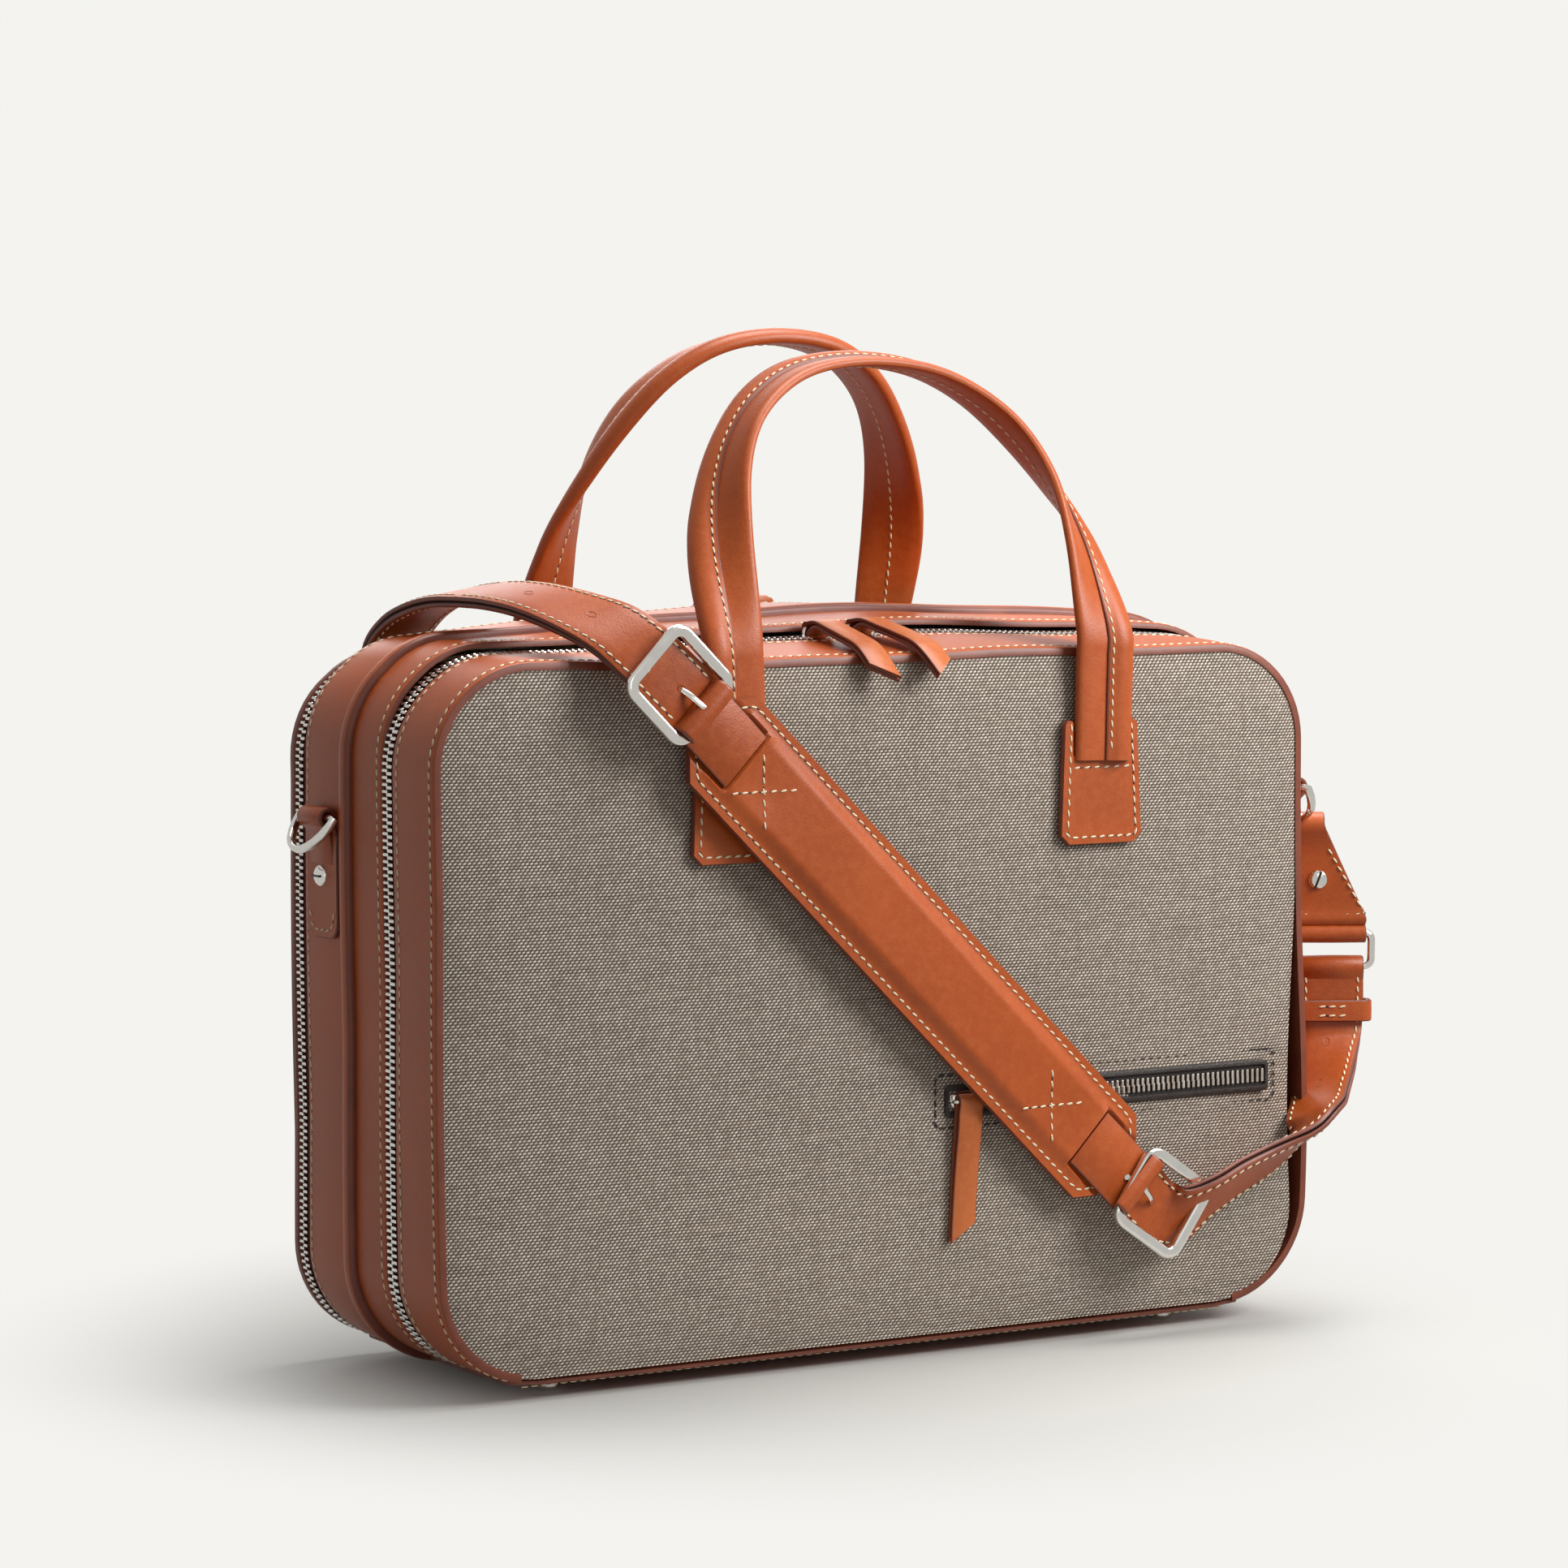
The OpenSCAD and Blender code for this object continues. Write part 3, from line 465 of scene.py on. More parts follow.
def repeat_tree():
    """Geometry nodes that set a small shape along each line of a mesh, standing on its 'out' attribute."""
    tree = bpy.data.node_groups.new("repeat_along_lines", "GeometryNodeTree")
    tree.interface.new_socket("Geometry", in_out="OUTPUT", socket_type="NodeSocketGeometry")
    names = {}
    for label, kind in (("Lines", "Geometry"), ("Shape", "Object"), ("Step", "Float"), ("Slant", "Float"),
                        ("Jitter", "Float"), ("Finish", "Material")):
        socket = tree.interface.new_socket(label, in_out="INPUT", socket_type="NodeSocket" + kind)
        names[label] = socket.identifier
    source = tree.nodes.new("NodeGroupInput")
    curve = add(tree, "GeometryNodeMeshToCurve", {0: source.outputs["Lines"]})
    spaced = add(tree, "GeometryNodeResampleCurve", {0: curve.outputs[0], 3: source.outputs["Step"]}, mode="LENGTH")
    out = add(tree, "GeometryNodeInputNamedAttribute", {"Name": "out"}, data_type="FLOAT_VECTOR")
    along = add(tree, "GeometryNodeInputTangent")
    stand = add(tree, "FunctionNodeAlignRotationToVector", {"Vector": out.outputs[0]}, axis="Z")
    face = add(tree, "FunctionNodeAlignRotationToVector", {"Rotation": stand.outputs[0], "Vector": along.outputs[0]},
               axis="X", pivot_axis="Z")
    spread = add(tree, "FunctionNodeRandomValue", {2: -1.0, 3: 1.0, "Seed": 7}, data_type="FLOAT")
    jitter, slant = source.outputs["Jitter"], source.outputs["Slant"]
    wobble = add(tree, "ShaderNodeMath", {0: spread.outputs[1], 1: jitter, 2: slant}, operation="MULTIPLY_ADD")
    turn = add(tree, "ShaderNodeCombineXYZ", {2: wobble.outputs[0]})
    spin = add(tree, "FunctionNodeEulerToRotation", {0: turn.outputs[0]})
    turned = add(tree, "FunctionNodeRotateRotation", {0: face.outputs[0], 1: spin.outputs[0]}, rotation_space="LOCAL")
    shape = add(tree, "GeometryNodeObjectInfo", {"Object": source.outputs["Shape"]})
    placed = add(tree, "GeometryNodeInstanceOnPoints", {
        "Points": spaced.outputs[0], "Instance": shape.outputs["Geometry"], "Rotation": turned.outputs[0]})
    real = add(tree, "GeometryNodeRealizeInstances", {0: placed.outputs[0]})
    done = add(tree, "GeometryNodeSetMaterial", {0: real.outputs[0], "Material": source.outputs["Finish"]})
    add(tree, "NodeGroupOutput", {0: done.outputs[0]})
    return tree, names


REPEAT, REPEAT_INPUTS = repeat_tree()


def repeat(name, lines, shape, step, finish, body, slant=0.0, jitter=0.0, start=0.0):
    """One piece made of a small shape repeated along several lines of (place, outward) pairs."""
    verts, edges, outs = [], [], []
    for line in lines:
        if start:
            line = trimmed(line, start)
        base = len(verts)
        verts += [Vector(p) * MM for p, _ in line]
        outs += [Vector(o).normalized() for _, o in line]
        edges += [(base + i, base + i + 1) for i in range(len(line) - 1)]
    mesh = bpy.data.meshes.new(name + "_lines")
    mesh.from_pydata(verts, edges, [])
    mesh.attributes.new("out", "FLOAT_VECTOR", "POINT").data.foreach_set("vector", [c for o in outs for c in o])
    holder = bpy.data.objects.new(name + "_lines", mesh)
    bpy.context.scene.collection.objects.link(holder)
    modifier = holder.modifiers.new("repeat", "NODES")
    modifier.node_group = REPEAT
    settings = {"Shape": shape, "Step": step * MM, "Slant": slant, "Jitter": jitter, "Finish": finish}
    for label, value in settings.items():
        modifier[REPEAT_INPUTS[label]] = value
    bpy.context.view_layer.update()
    ready = bpy.data.meshes.new_from_object(holder.evaluated_get(bpy.context.evaluated_depsgraph_get()))
    ready.name = name
    bpy.data.objects.remove(holder)
    obj = bpy.data.objects.new(name, ready)
    bpy.context.scene.collection.objects.link(obj)
    return settle(obj, body)


def trimmed(line, start):
    """The line from a distance after its beginning."""
    gone = 0.0
    for i in range(len(line) - 1):
        gap = (Vector(line[i + 1][0]) - Vector(line[i][0])).length
        if gone + gap > start:
            t = (start - gone) / gap
            first = Vector(line[i][0]).lerp(Vector(line[i + 1][0]), t)
            return [(first, line[i][1])] + line[i + 1:]
        gone += gap
    return line


# ---------------------------------------------------------------- the bag's outline

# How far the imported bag's top swells over its cut height, by depth from the front edge to the rear edge
SWELL = ((-70.0, -1.6), (-66.0, -1.2), (-34.0, 4.0), (-25.0, 5.6), (-16.0, 6.8), (11.0, 9.6), (51.0, 12.0),
         (58.0, 11.6), (66.0, 9.6), (70.0, 9.0))


def swell(y):
    for (y0, h0), (y1, h1) in zip(SWELL, SWELL[1:]):
        if y <= y1:
            return h0 + (h1 - h0) * max(0.0, (y - y0) / (y1 - y0))
    return SWELL[-1][1]


def top_lift(x, y):
    """How far the soft top stands above its cut height: it swells between the corners and ripples a little."""
    middle = max(0.0, math.cos(math.pi / 2 * min(1.0, abs(x - 12) / 205))) ** 0.7
    ripple = 0.8 * math.sin(x / 41 + 0.9 + y / 90) + 0.4 * math.sin(x / 17 + y / 30)
    return swell(y) * middle + ripple


def side_bow(z):
    """How far the right side has slumped inwards, most of all below the middle."""
    return 5.0 * math.exp(-((z - 95) / 75) ** 2)


def rim(inset, top, stop, y, step=6.0):
    """The outline at one depth, from the base's left end over the top to its right end: (x, z, nx, nz)."""
    r = CORNER
    cx = HALF_WIDTH - r
    pts = []
    start = math.degrees(math.asin(min(1, max(0.0, stop - cx) / r)))
    arc = 14
    for i in range(arc + 1):
        a = math.radians(start + (90 - start) * i / arc)
        pts.append((-cx - r * math.sin(a), BOTTOM + r - r * math.cos(a), -math.sin(a), -math.cos(a)))
    z0, z1 = BOTTOM + r, top - r
    n = round((z1 - z0) / step)
    for i in range(1, n):
        pts.append((-HALF_WIDTH, z0 + (z1 - z0) * i / n, -1, 0))
    for i in range(arc + 1):
        a = math.radians(90 * i / arc)
        pts.append((-cx - r * math.cos(a), z1 + r * math.sin(a), -math.cos(a), math.sin(a)))
    n = round(2 * cx / step)
    line = pts + [(-cx + 2 * cx * i / n, top, 0, 1) for i in range(1, n)] + [(-x, z, -nx, nz) for x, z, nx, nz in
                                                                            reversed(pts)]
    out = []
    for x, z, nx, nz in line:
        lift = top_lift(x, y) * max(0.0, nz)
        bow = 0.7 * math.sin(z / 47 + y / 60) * abs(nx) - (side_bow(z) if x > 0 else 0.0) * abs(nx)
        out.append((x - nx * inset + math.copysign(bow, x), z - nz * inset + lift, nx, nz))
    return out


def around(y, height, top, stop, inset=0.0):
    """A line round the bag at one depth and height over the leather, with the way out from it."""
    return [(Vector((x + nx * height, y, z + nz * height)), Vector((nx, 0, nz)))
            for x, z, nx, nz in rim(inset, top, stop, y)]


def strip(name, profile, kinds, top, stop, body, mats, replaces=(), caps=1):
    """A leather strip bent round the gusset; its profile is a closed loop of (depth, height)."""
    lines = [rim(0.0, top, stop, y) for y, _ in profile]
    rings = []
    for i in range(len(lines[0])):
        ring = []
        for (y, h), line in zip(profile, lines):
            x, z, nx, nz = line[i]
            ring.append(Vector((x + nx * h, y, z + nz * h)))
        rings.append(ring)
    verts, faces, which = loft(rings, kinds, caps=caps)
    return piece(name, verts, faces, body, mats, which, replaces, sharp=50)


def flat_profile(y0, y1, thick, crown=0.35, lip=0.55):
    """Closed loop of a leather strip: softly crowned top, eased edges, flat back."""
    w = y1 - y0
    loop = [(y0, -thick), (y0, -lip), (y0 + 0.25, -0.2), (y0 + lip, 0.0)]
    for t in (0.12, 0.3, 0.5, 0.7, 0.88):
        loop.append((y0 + w * t, crown * math.sin(math.pi * t)))
    loop += [(y1 - lip, 0.0), (y1 - 0.25, -0.2), (y1, -lip), (y1, -thick)]
    kinds = [1, 1, 0] + [0] * 6 + [0, 1, 1, 1]
    return loop, kinds


# Leather bands of the gusset, from the front to the rear
loop, kinds = flat_profile(FRONT_EDGE_Y, -29.8, 3.3)
strip("front_gusset_band", loop, kinds, COVER_TOP, 174, "front_cover", [COGNAC, EDGE],
      ["front_band"])
sew("front_cover", around(-62.4, 0.18, COVER_TOP, 171))
sew("front_cover", around(-33.9, 0.16, COVER_TOP, 171))

loop, kinds = flat_profile(-20.2, 7.2, 2.4)
strip("middle_front_band", loop, kinds, CORE_TOP, 160, "bag_core", [COGNAC, EDGE],
      ["core_front_band"])
sew("bag_core", around(-16.4, 0.16, CORE_TOP, 170))

welt = [(7.0, -2.0), (7.0, 1.2), (7.3, 2.3), (8.4, 3.0), (10.8, 3.2), (13.2, 3.0), (14.3, 2.3), (14.6, 1.2),
        (14.6, -2.0)]
strip("raised_seam_welt", welt, [1, 1, 1, 0, 0, 1, 1, 1, 1], CORE_TOP, 174, "bag_core",
      [COGNAC, EDGE], ["core_welt"])

loop, kinds = flat_profile(14.4, 51.6, 2.4, 0.6)
strip("middle_rear_band", loop, kinds, CORE_TOP, 160, "bag_core", [COGNAC, EDGE],
      ["core_rear_band"])
sew("bag_core", around(48.6, 0.16, CORE_TOP, 170))

loop, kinds = flat_profile(62.2, 66.2, 3.0, 0.1)
strip("rear_gusset_edge", loop, [1] * len(kinds), COVER_TOP, 174, "rear_cover",
      [COGNAC, EDGE], ["rear_band"])


def tape(name, y0, y1, body, replaces, finish=TAPE):
    loop = [(y0, -2.6), (y0, -1.9), (y1, -1.7), (y1, -2.6)]
    strip(name, loop, [0], COVER_TOP, 176, body, [finish], replaces, caps=0)


tape("front_zip_tape_outer", -38.5, -25.9, "front_cover", ["front_zip_cover_half"])
tape("front_zip_tape_inner", -24.1, -11.5, "bag_core", ["front_zip_core_half"])
tape("rear_zip_tape_outer", 58.3, 63.5, "rear_cover", ["rear_zip_cover_half"])
tape("rear_zip_tape_inner", 49.6, 56.9, "bag_core", ["rear_zip_core_half"])

TOOTH = tooth_mesh("zip_tooth", 4.3, 1.45, 2.1)
SMALL_TOOTH = tooth_mesh("small_zip_tooth", 3.4, 1.35, 1.8)
for name, y, body, offset, shape in (
        ("front_zip_teeth_outer", -26.9, "front_cover", 0.0, TOOTH),
        ("front_zip_teeth_inner", -23.1, "bag_core", 1.4, TOOTH),
        ("rear_zip_teeth_outer", 59.3, "rear_cover", 0.0, SMALL_TOOTH),
        ("rear_zip_teeth_inner", 56.0, "bag_core", 1.4, SMALL_TOOTH)):
    repeat(name, [around(y, -0.8, COVER_TOP, 178)], shape, 2.8, TEETH, body, start=offset)


# ---------------------------------------------------------------- canvas panels

def shrunk_outline(inset, top, n_arc=10, n_side=34, n_top=46):
    """Closed outline drawn in by inset, always with the same number of points."""
    r = max(CORNER - inset, 0.5)
    a = HALF_WIDTH - inset - r
    z_low, z_high = BOTTOM + inset + r, top - inset - r
    a, mid = max(a, 0.0), (BOTTOM + top) / 2
    if z_low > z_high:
        z_low = z_high = mid
    pts = []
    corners = ((a, z_high, 0), (-a, z_high, 90), (-a, z_low, 180), (a, z_low, 270))
    counts = (n_top, n_side, n_top, n_side)
    for k, (cx, cz, start) in enumerate(corners):
        for i in range(n_arc + 1):
            t = math.radians(start + 90 * i / n_arc)
            pts.append((cx + r * math.cos(t), cz + r * math.sin(t)))
        nx, nz, nstart = corners[(k + 1) % 4]
        x0, z0 = pts[-1]
        t = math.radians(nstart)
        x1, z1 = nx + r * math.cos(t), nz + r * math.sin(t)
        for i in range(1, counts[k]):
            pts.append((x0 + (x1 - x0) * i / counts[k], z0 + (z1 - z0) * i / counts[k]))
    return pts


def crown(x, z, inset, side):
    """Depth of the soft panel: it rises from its bound edge and sags a little between its fixings."""
    rise = 3.4 * (1 - math.exp(-max(inset - 3.0, 0) / 16))
    ripple = 0.55 * noise.noise(Vector((x / 55, z / 70, side)))
    ripple += 0.3 * noise.noise(Vector((x / 21, z / 30, 5 + side)))
    pinch = 0.35 * math.sin(x / 13 + side) * math.exp(-max(inset - 3.0, 0) / 9)
    edge = min(1.0, max(inset - 2.5, 0) / 8)
    return 65.4 + rise + (ripple + pinch) * edge


INSETS = [1.4, 3.0, 3.6, 4.6, 6, 8, 10.5, 14, 18, 23, 29, 36, 44, 54, 66, 80, 95, 110, 126, 142.5]


def canvas_panel(name, side, body, replaces):
    rings = []
    for inset in INSETS:
        ring = []
        for x, z in shrunk_outline(inset, COVER_TOP):
            # The cloth follows the band that binds it: its top and right edges move as the band does
            z_here = z + top_lift(x, side * 66) * smooth_step((z - 215) / 80)
            x_here = x - side_bow(z) * smooth_step((x - 60) / 145)
            ring.append(Vector((x_here, side * crown(x, z, inset, side), z_here)))
        rings.append(ring)
    n = len(rings[0])
    verts = [p for ring in rings for p in ring]
    faces = []
    for i in range(len(rings) - 1):
        for k in range(n):
            m = (k + 1) % n
            faces.append((i * n + k, i * n + m, (i + 1) * n + m, (i + 1) * n + k))
    inner = (len(rings) - 1) * n
    faces.append(tuple(range(inner, inner + n)))
    back = [Vector((v.x, side * 62.8, v.z)) for v in rings[0]]
    base = len(verts)
    verts += back
    for k in range(n):
        m = (k + 1) % n
        faces.append((k, base + k, base + m, m))
    faces.append(tuple(range(base + n - 1, base - 1, -1)))
    return piece(name, verts, faces, body, [CANVAS], None, replaces, sharp=60)


for panel in (canvas_panel("front_canvas", -1, "front_cover", ["front_canvas_panel"]),
              canvas_panel("rear_canvas", 1, "rear_cover", ["rear_canvas_panel"])):
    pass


def front_depth(x, z):
    """Depth of the front canvas at a place on it."""
    inset = min(HALF_WIDTH - abs(x), COVER_TOP - z, z - BOTTOM)
    return crown(x, z, inset, -1)


# ---------------------------------------------------------------- straps and handles

def doubled(width, thick, gap=0.5):
    """Profile of two layers of strap leather sewn together, with the gap between them open at the sides; the gap's
    faces take near-black painted shade.
    """
    w, t = width / 2, thick / 2
    right = [(w - 1.3, t), (w - 0.35, t - 0.25), (w, t - 0.8), (w, gap + 0.35), (w - 0.35, gap), (w - 1.1, 0.0)]
    low = [(v, -n) for v, n in reversed(right[:-1])]
    top = [(-w * 0.5, t + 0.15), (0.0, t + 0.2), (w * 0.5, t + 0.15)]
    base = [(w * 0.5, -t), (0.0, -t), (-w * 0.5, -t)]
    left = [(-v, -n) for v, n in right]
    left_up = [(-v, -n) for v, n in low]
    loop = right + low + base + left + left_up + top
    kinds = [0, 1, 1, 1, 2, 2, 1, 1, 1, 0] + [0] * 4 + [0, 1, 1, 1, 2, 2, 1, 1, 1, 0] + [0] * 4
    return loop, kinds[:len(loop)]


def folded_handle(width):
    """Profile of a handle: one half folded over a cord and rounded, the other flat, with a lapped seam between."""
    w = width / 2
    outer = [(-w, 0.0), (-w + 0.3, 1.7), (-w + 1.4, 3.2), (-w + 3.6, 4.3), (-w + 6.6, 4.6), (-w + 9.4, 4.1),
             (-2.6, 3.1), (-1.0, 2.9), (-0.35, 2.5), (-0.2, 1.7), (0.8, 1.7), (4, 2.0), (8, 2.1), (w - 2.4, 1.9),
             (w - 0.9, 1.3), (w - 0.2, 0.4), (w, -0.6)]
    inner = [(w - 0.3, -1.6), (w - 1.2, -2.1), (w * 0.5, -2.3), (0.0, -2.35), (-w * 0.5, -2.3), (-w + 1.6, -2.0),
             (-w + 0.4, -1.2)]
    kinds = [0] * 7 + [1, 1, 0] + [0] * 4 + [0] * 10
    return outer + inner, kinds[:len(outer + inner)]


def handle_run(centre, spread, top, lean_top, side):
    """Course of a handle: up both legs flat against the panel, turning to lie flat over the top."""
    z0 = 247.0
    pts, widths = [], []
    flat = 72.9
    lean_from = 299.0

    def depth(z):
        return side * (flat - lean_top * (max(0.0, z - lean_from) / (top - lean_from)) ** 1.1)

    def face(z):
        return smooth_step((z - 290) / (top - 22 - 290)) * math.pi / 2

    legs = [z0, 262, 277, 291, 303]
    arch = top - 303
    left = [(-spread - 1.5 * (z - z0) / 56, z) for z in legs]
    turnpts = []
    for k in range(1, 12):
        a = math.pi - math.pi * k / 12
        turnpts.append((math.copysign(abs(math.cos(a)) ** 0.86, math.cos(a)) * (spread + 1.5),
                        303 + arch * math.sin(a) ** 0.88))
    course = left + turnpts + [(-x, z) for x, z in reversed(left)]
    for x, z in course:
        pts.append(Vector((centre + x, depth(z), z)))
        a = face(z)
        # Width lies along X on the legs and along the bag's depth on top, with the outer face up
        sign = 1 if x < 0 else -1
        widths.append(Vector((sign * math.cos(a), side * math.sin(a), 0)))
    return Run(pts, widths, 3.5)


def carry_handle(node, side):
    """The handle on the front (side -1) or the rear (side 1), standing where the cut handle stands."""
    low, high = box_of(node)
    # The legs' middles lie 16 mm inside the box, and the middle of the arch 2 mm under its top
    run = handle_run((low[0] + high[0]) / 2, (high[0] - low[0]) / 2 - 16, high[2] - 2, 50, side)
    body = node + "_body"
    profile, kinds = folded_handle(27.5)
    if side > 0:
        # Seen from the rear the outer face looks the other way
        profile = [(v, -n) for v, n in profile][::-1]
        kinds = kinds[::-1][1:] + kinds[-1:]
    verts, faces, which = run.body(profile, kinds, caps=1)
    name = node.replace("_handle", "_carry_handle")
    piece(name, verts, faces, body, [COGNAC, EDGE], which, [node], uvs=run.uvs(profile))
    flip = 1 if side < 0 else -1
    for v, n in ((-2.4, 3.15), (0.3, -2.42)):
        line = run.line(v, n * flip, 6, run.s[-1] - 6, flip if n > 0 else -flip)
        sew(body, line)


carry_handle("front_handle", -1)
carry_handle("rear_handle", 1)


def vectors(*places):
    return [Vector(place) for place in places]


def pad_point(u, v, w):
    """A place in the pad's own frame: u along it, v towards its upper edge, w away from the bag."""
    x = u * math.cos(PAD_TILT) + w * math.sin(PAD_TILT)
    y = u * math.sin(PAD_TILT) - w * math.cos(PAD_TILT)
    return PAD_MID + Vector((x * math.cos(PAD_SLOPE) + v * math.sin(PAD_SLOPE), y,
                             -x * math.sin(PAD_SLOPE) + v * math.cos(PAD_SLOPE)))


def pad_way(u, v, w):
    return pad_point(u, v, w) - PAD_MID


# Strap over the top of the bag, in two lengths that meet over the middle section
over_front = [pad_point(-BAR_U - 5.5, 0, 1.6), pad_point(-BAR_U - 13, 0, 2.4), pad_point(-BUCKLE_U - 8, 0, 1.2),
              pad_point(-BUCKLE_U - 18, 0, 0.2)]
over_front += vectors((-132, -71, 307), (-139, -55, 313), (-146, -34, 318), (-150, -14, 320), (-152, 4, 320))
across = pad_way(0, 1, 0)
over_front_w = [across, across, across] + vectors(
    (0.72, 0.08, 0.68), (0.78, 0.2, 0.56), (0.85, 0.27, 0.42), (0.9, 0.27, 0.3), (0.93, 0.22, 0.24), (0.95, 0.16, 0.2))
over_rear = vectors(
    (-152, 4, 320), (-154, 24, 318.5), (-156, 43, 314.5), (-157, 60, 308), (-158, 73.4, 297), (-158, 78.2, 280),
    (-158, 78.5, 262), (-158, 78.5, 244), (-158, 78.5, 225.5))
over_rear_w = vectors(
    (0.95, 0.16, 0.2), (0.96, 0.1, 0.14), (0.97, 0.06, 0.1), (0.98, 0.03, 0.06), (0.99, 0, 0.03), (1, 0, 0), (1, 0, 0),
    (1, 0, 0), (1, 0, 0))
END_TURN = math.radians(-31)
# How far the lower buckle is turned towards the rising strap, in degrees
LOWER_BUCKLE_TURN = 9.0
end_across = Vector((math.cos(END_TURN), math.sin(END_TURN), 0))
below = [pad_point(BAR_U + 5.5, 0, 1.6), pad_point(BUCKLE_U + 3, 0, 2.2)] + vectors(
    (134.5, -82, 52), (150, -84, 59), (164, -84, 65.5), (178, -84, 71), (190, -85, 77), (198, -86, 82.5),
    (204.5, -83.8, 88.5), (215.5, -73, 94), (225, -63.5, 102.5), (233, -54.5, 112.5), (238.6, -49.4, 121),
    (239.8, -49, 133), (239.8, -49, 145.9))
below_w = [across, across] + vectors(
    (0.1, -0.4, 0.9), (-0.35, -0.66, 0.64), (-0.45, -0.7, 0.56), (-0.42, -0.74, 0.52), (-0.35, -0.82, 0.42),
    (-0.2, -0.92, 0.33), (0.03, -0.97, 0.22), (0.22, -0.95, 0.17), (0.42, -0.89, 0.12), (0.68, -0.72, 0.06),
    (0.84, -0.54, 0.02)) + [end_across, end_across]
STRAP_PROFILE, STRAP_KINDS = doubled(28, 5.0)


def shoulder_strap(name, points, widths, body, replaces):
    run = Run(points, widths, 3.0)
    verts, faces, which = run.body(STRAP_PROFILE, STRAP_KINDS, caps=1)
    piece(name, verts, faces, body, [STRAP, EDGE, GAP_PAINTED_SHADE], which, replaces,
          uvs=run.uvs(STRAP_PROFILE))
    for v in (-11.4, 11.4):
        for side in (1, -1):
            sew(body, run.line(v, 2.62 * side, 2, run.s[-1] - 2, side))
    return run


FRONT_BEND = ("front_cover", "bag_core", (0.0, -0.078, 0.3), (0.0, 0.0, 0.32))
REAR_BEND = ("bag_core", "rear_cover", (0.0, 0.006, 0.32), (0.0, 0.07, 0.3))
UPPER_FRONT = shoulder_strap("strap_over_top_front", over_front, over_front_w, FRONT_BEND, ["upper_strap_front"])
shoulder_strap("strap_over_top_rear", over_rear, over_rear_w, REAR_BEND, ["upper_strap_rear"])
LOWER = shoulder_strap("strap_below_edge", below, below_w, "front_cover", ["lower_strap"])


# ---------------------------------------------------------------- shoulder pad

# Middles of the two cross stitches, in the pad's own frame
CROSSES = ((-103.0, -3.0), (93.0, -3.0))


def pad_edge(u, v):
    """Distance from a place on the pad to its nearest edge, with its corners clipped."""
    clip = 12.0
    hl, hw = PAD_LEN / 2, PAD_WIDTH / 2
    corner = (hl + hw - clip - abs(u) - abs(v)) / math.sqrt(2)
    return min(hl - abs(u), hw - abs(v), corner)


def pad_top(u, v):
    """Height of the pad's face: a flat sewn margin, then foam, pressed down round the cross stitches."""
    d = pad_edge(u, v)
    foam = 2.9 * smooth_step((d - 3.6) / 7.5)
    foam *= 1 - 0.3 * smooth_step((abs(u) - 70) / 40)
    for s, t in CROSSES:
        near = math.hypot(u - s, v - t)
        foam -= 0.7 * math.exp(-(near / 12) ** 2)
    height = 1.1 + foam
    notch = smooth_step((abs(u) - 116.2) / 1.2) * smooth_step((15.6 - abs(v)) / 1.2)
    height = height * (1 - notch) + 0.0 * notch
    ridge = 0.5 * math.exp(-((abs(u) - 115.4) / 1.2) ** 2) * smooth_step((16.5 - abs(v)) / 1.5)
    return height + ridge


def shoulder_pad():
    bm = bmesh.new()
    us = [-142 + 284 * i / 142 for i in range(143)]
    vs = [-23 + 46 * i / 46 for i in range(47)]
    grid = [[bm.verts.new((u, v, 0)) for v in vs] for u in us]
    for i in range(len(us) - 1):
        for k in range(len(vs) - 1):
            bm.faces.new((grid[i][k], grid[i + 1][k], grid[i + 1][k + 1], grid[i][k + 1]))
    for su in (-1, 1):
        for sv in (-1, 1):
            normal = Vector((su, sv, 0)).normalized()
            place = Vector((su * (PAD_LEN / 2 - 12), sv * PAD_WIDTH / 2, 0))
            bmesh.ops.bisect_plane(bm, geom=bm.verts[:] + bm.edges[:] + bm.faces[:], plane_co=place, plane_no=normal,
                                   clear_outer=True, dist=1e-4)
    bm.verts.ensure_lookup_table()
    plan = [(v.co.x, v.co.y) for v in bm.verts]
    faces = [tuple(v.index for v in f.verts) for f in bm.faces]
    rim_pairs = [(e.verts[0].index, e.verts[1].index) for e in bm.edges if e.is_boundary]
    bm.free()
    n = len(plan)
    verts = [pad_point(u, v, pad_top(u, v)) for u, v in plan]
    verts += [pad_point(u, v, -2.6) for u, v in plan]
    which = [0] * len(faces)
    low = [tuple(i + n for i in reversed(f)) for f in faces]
    walls = [(a, b, b + n, a + n) for a, b in rim_pairs]
    piece("shoulder_pad_cover", verts, faces + low + walls, "front_cover", [COGNAC, EDGE],
          which + [0] * len(low) + [1] * len(walls), ["shoulder_pad"], sharp=38)


shoulder_pad()


def on_pad_line(points, lift=0.08):
    """A sewing line on the pad's face through points of its own frame."""
    line = []
    for (u0, v0), (u1, v1) in zip(points, points[1:]):
        n = max(1, round(math.hypot(u1 - u0, v1 - v0) / 2))
        for i in range(n + 1 if (u1, v1) == points[-1] else n):
            u, v = u0 + (u1 - u0) * i / n, v0 + (v1 - v0) * i / n
            line.append((pad_point(u, v, pad_top(u, v) + lift), pad_way(0, 0, 1)))
    return line


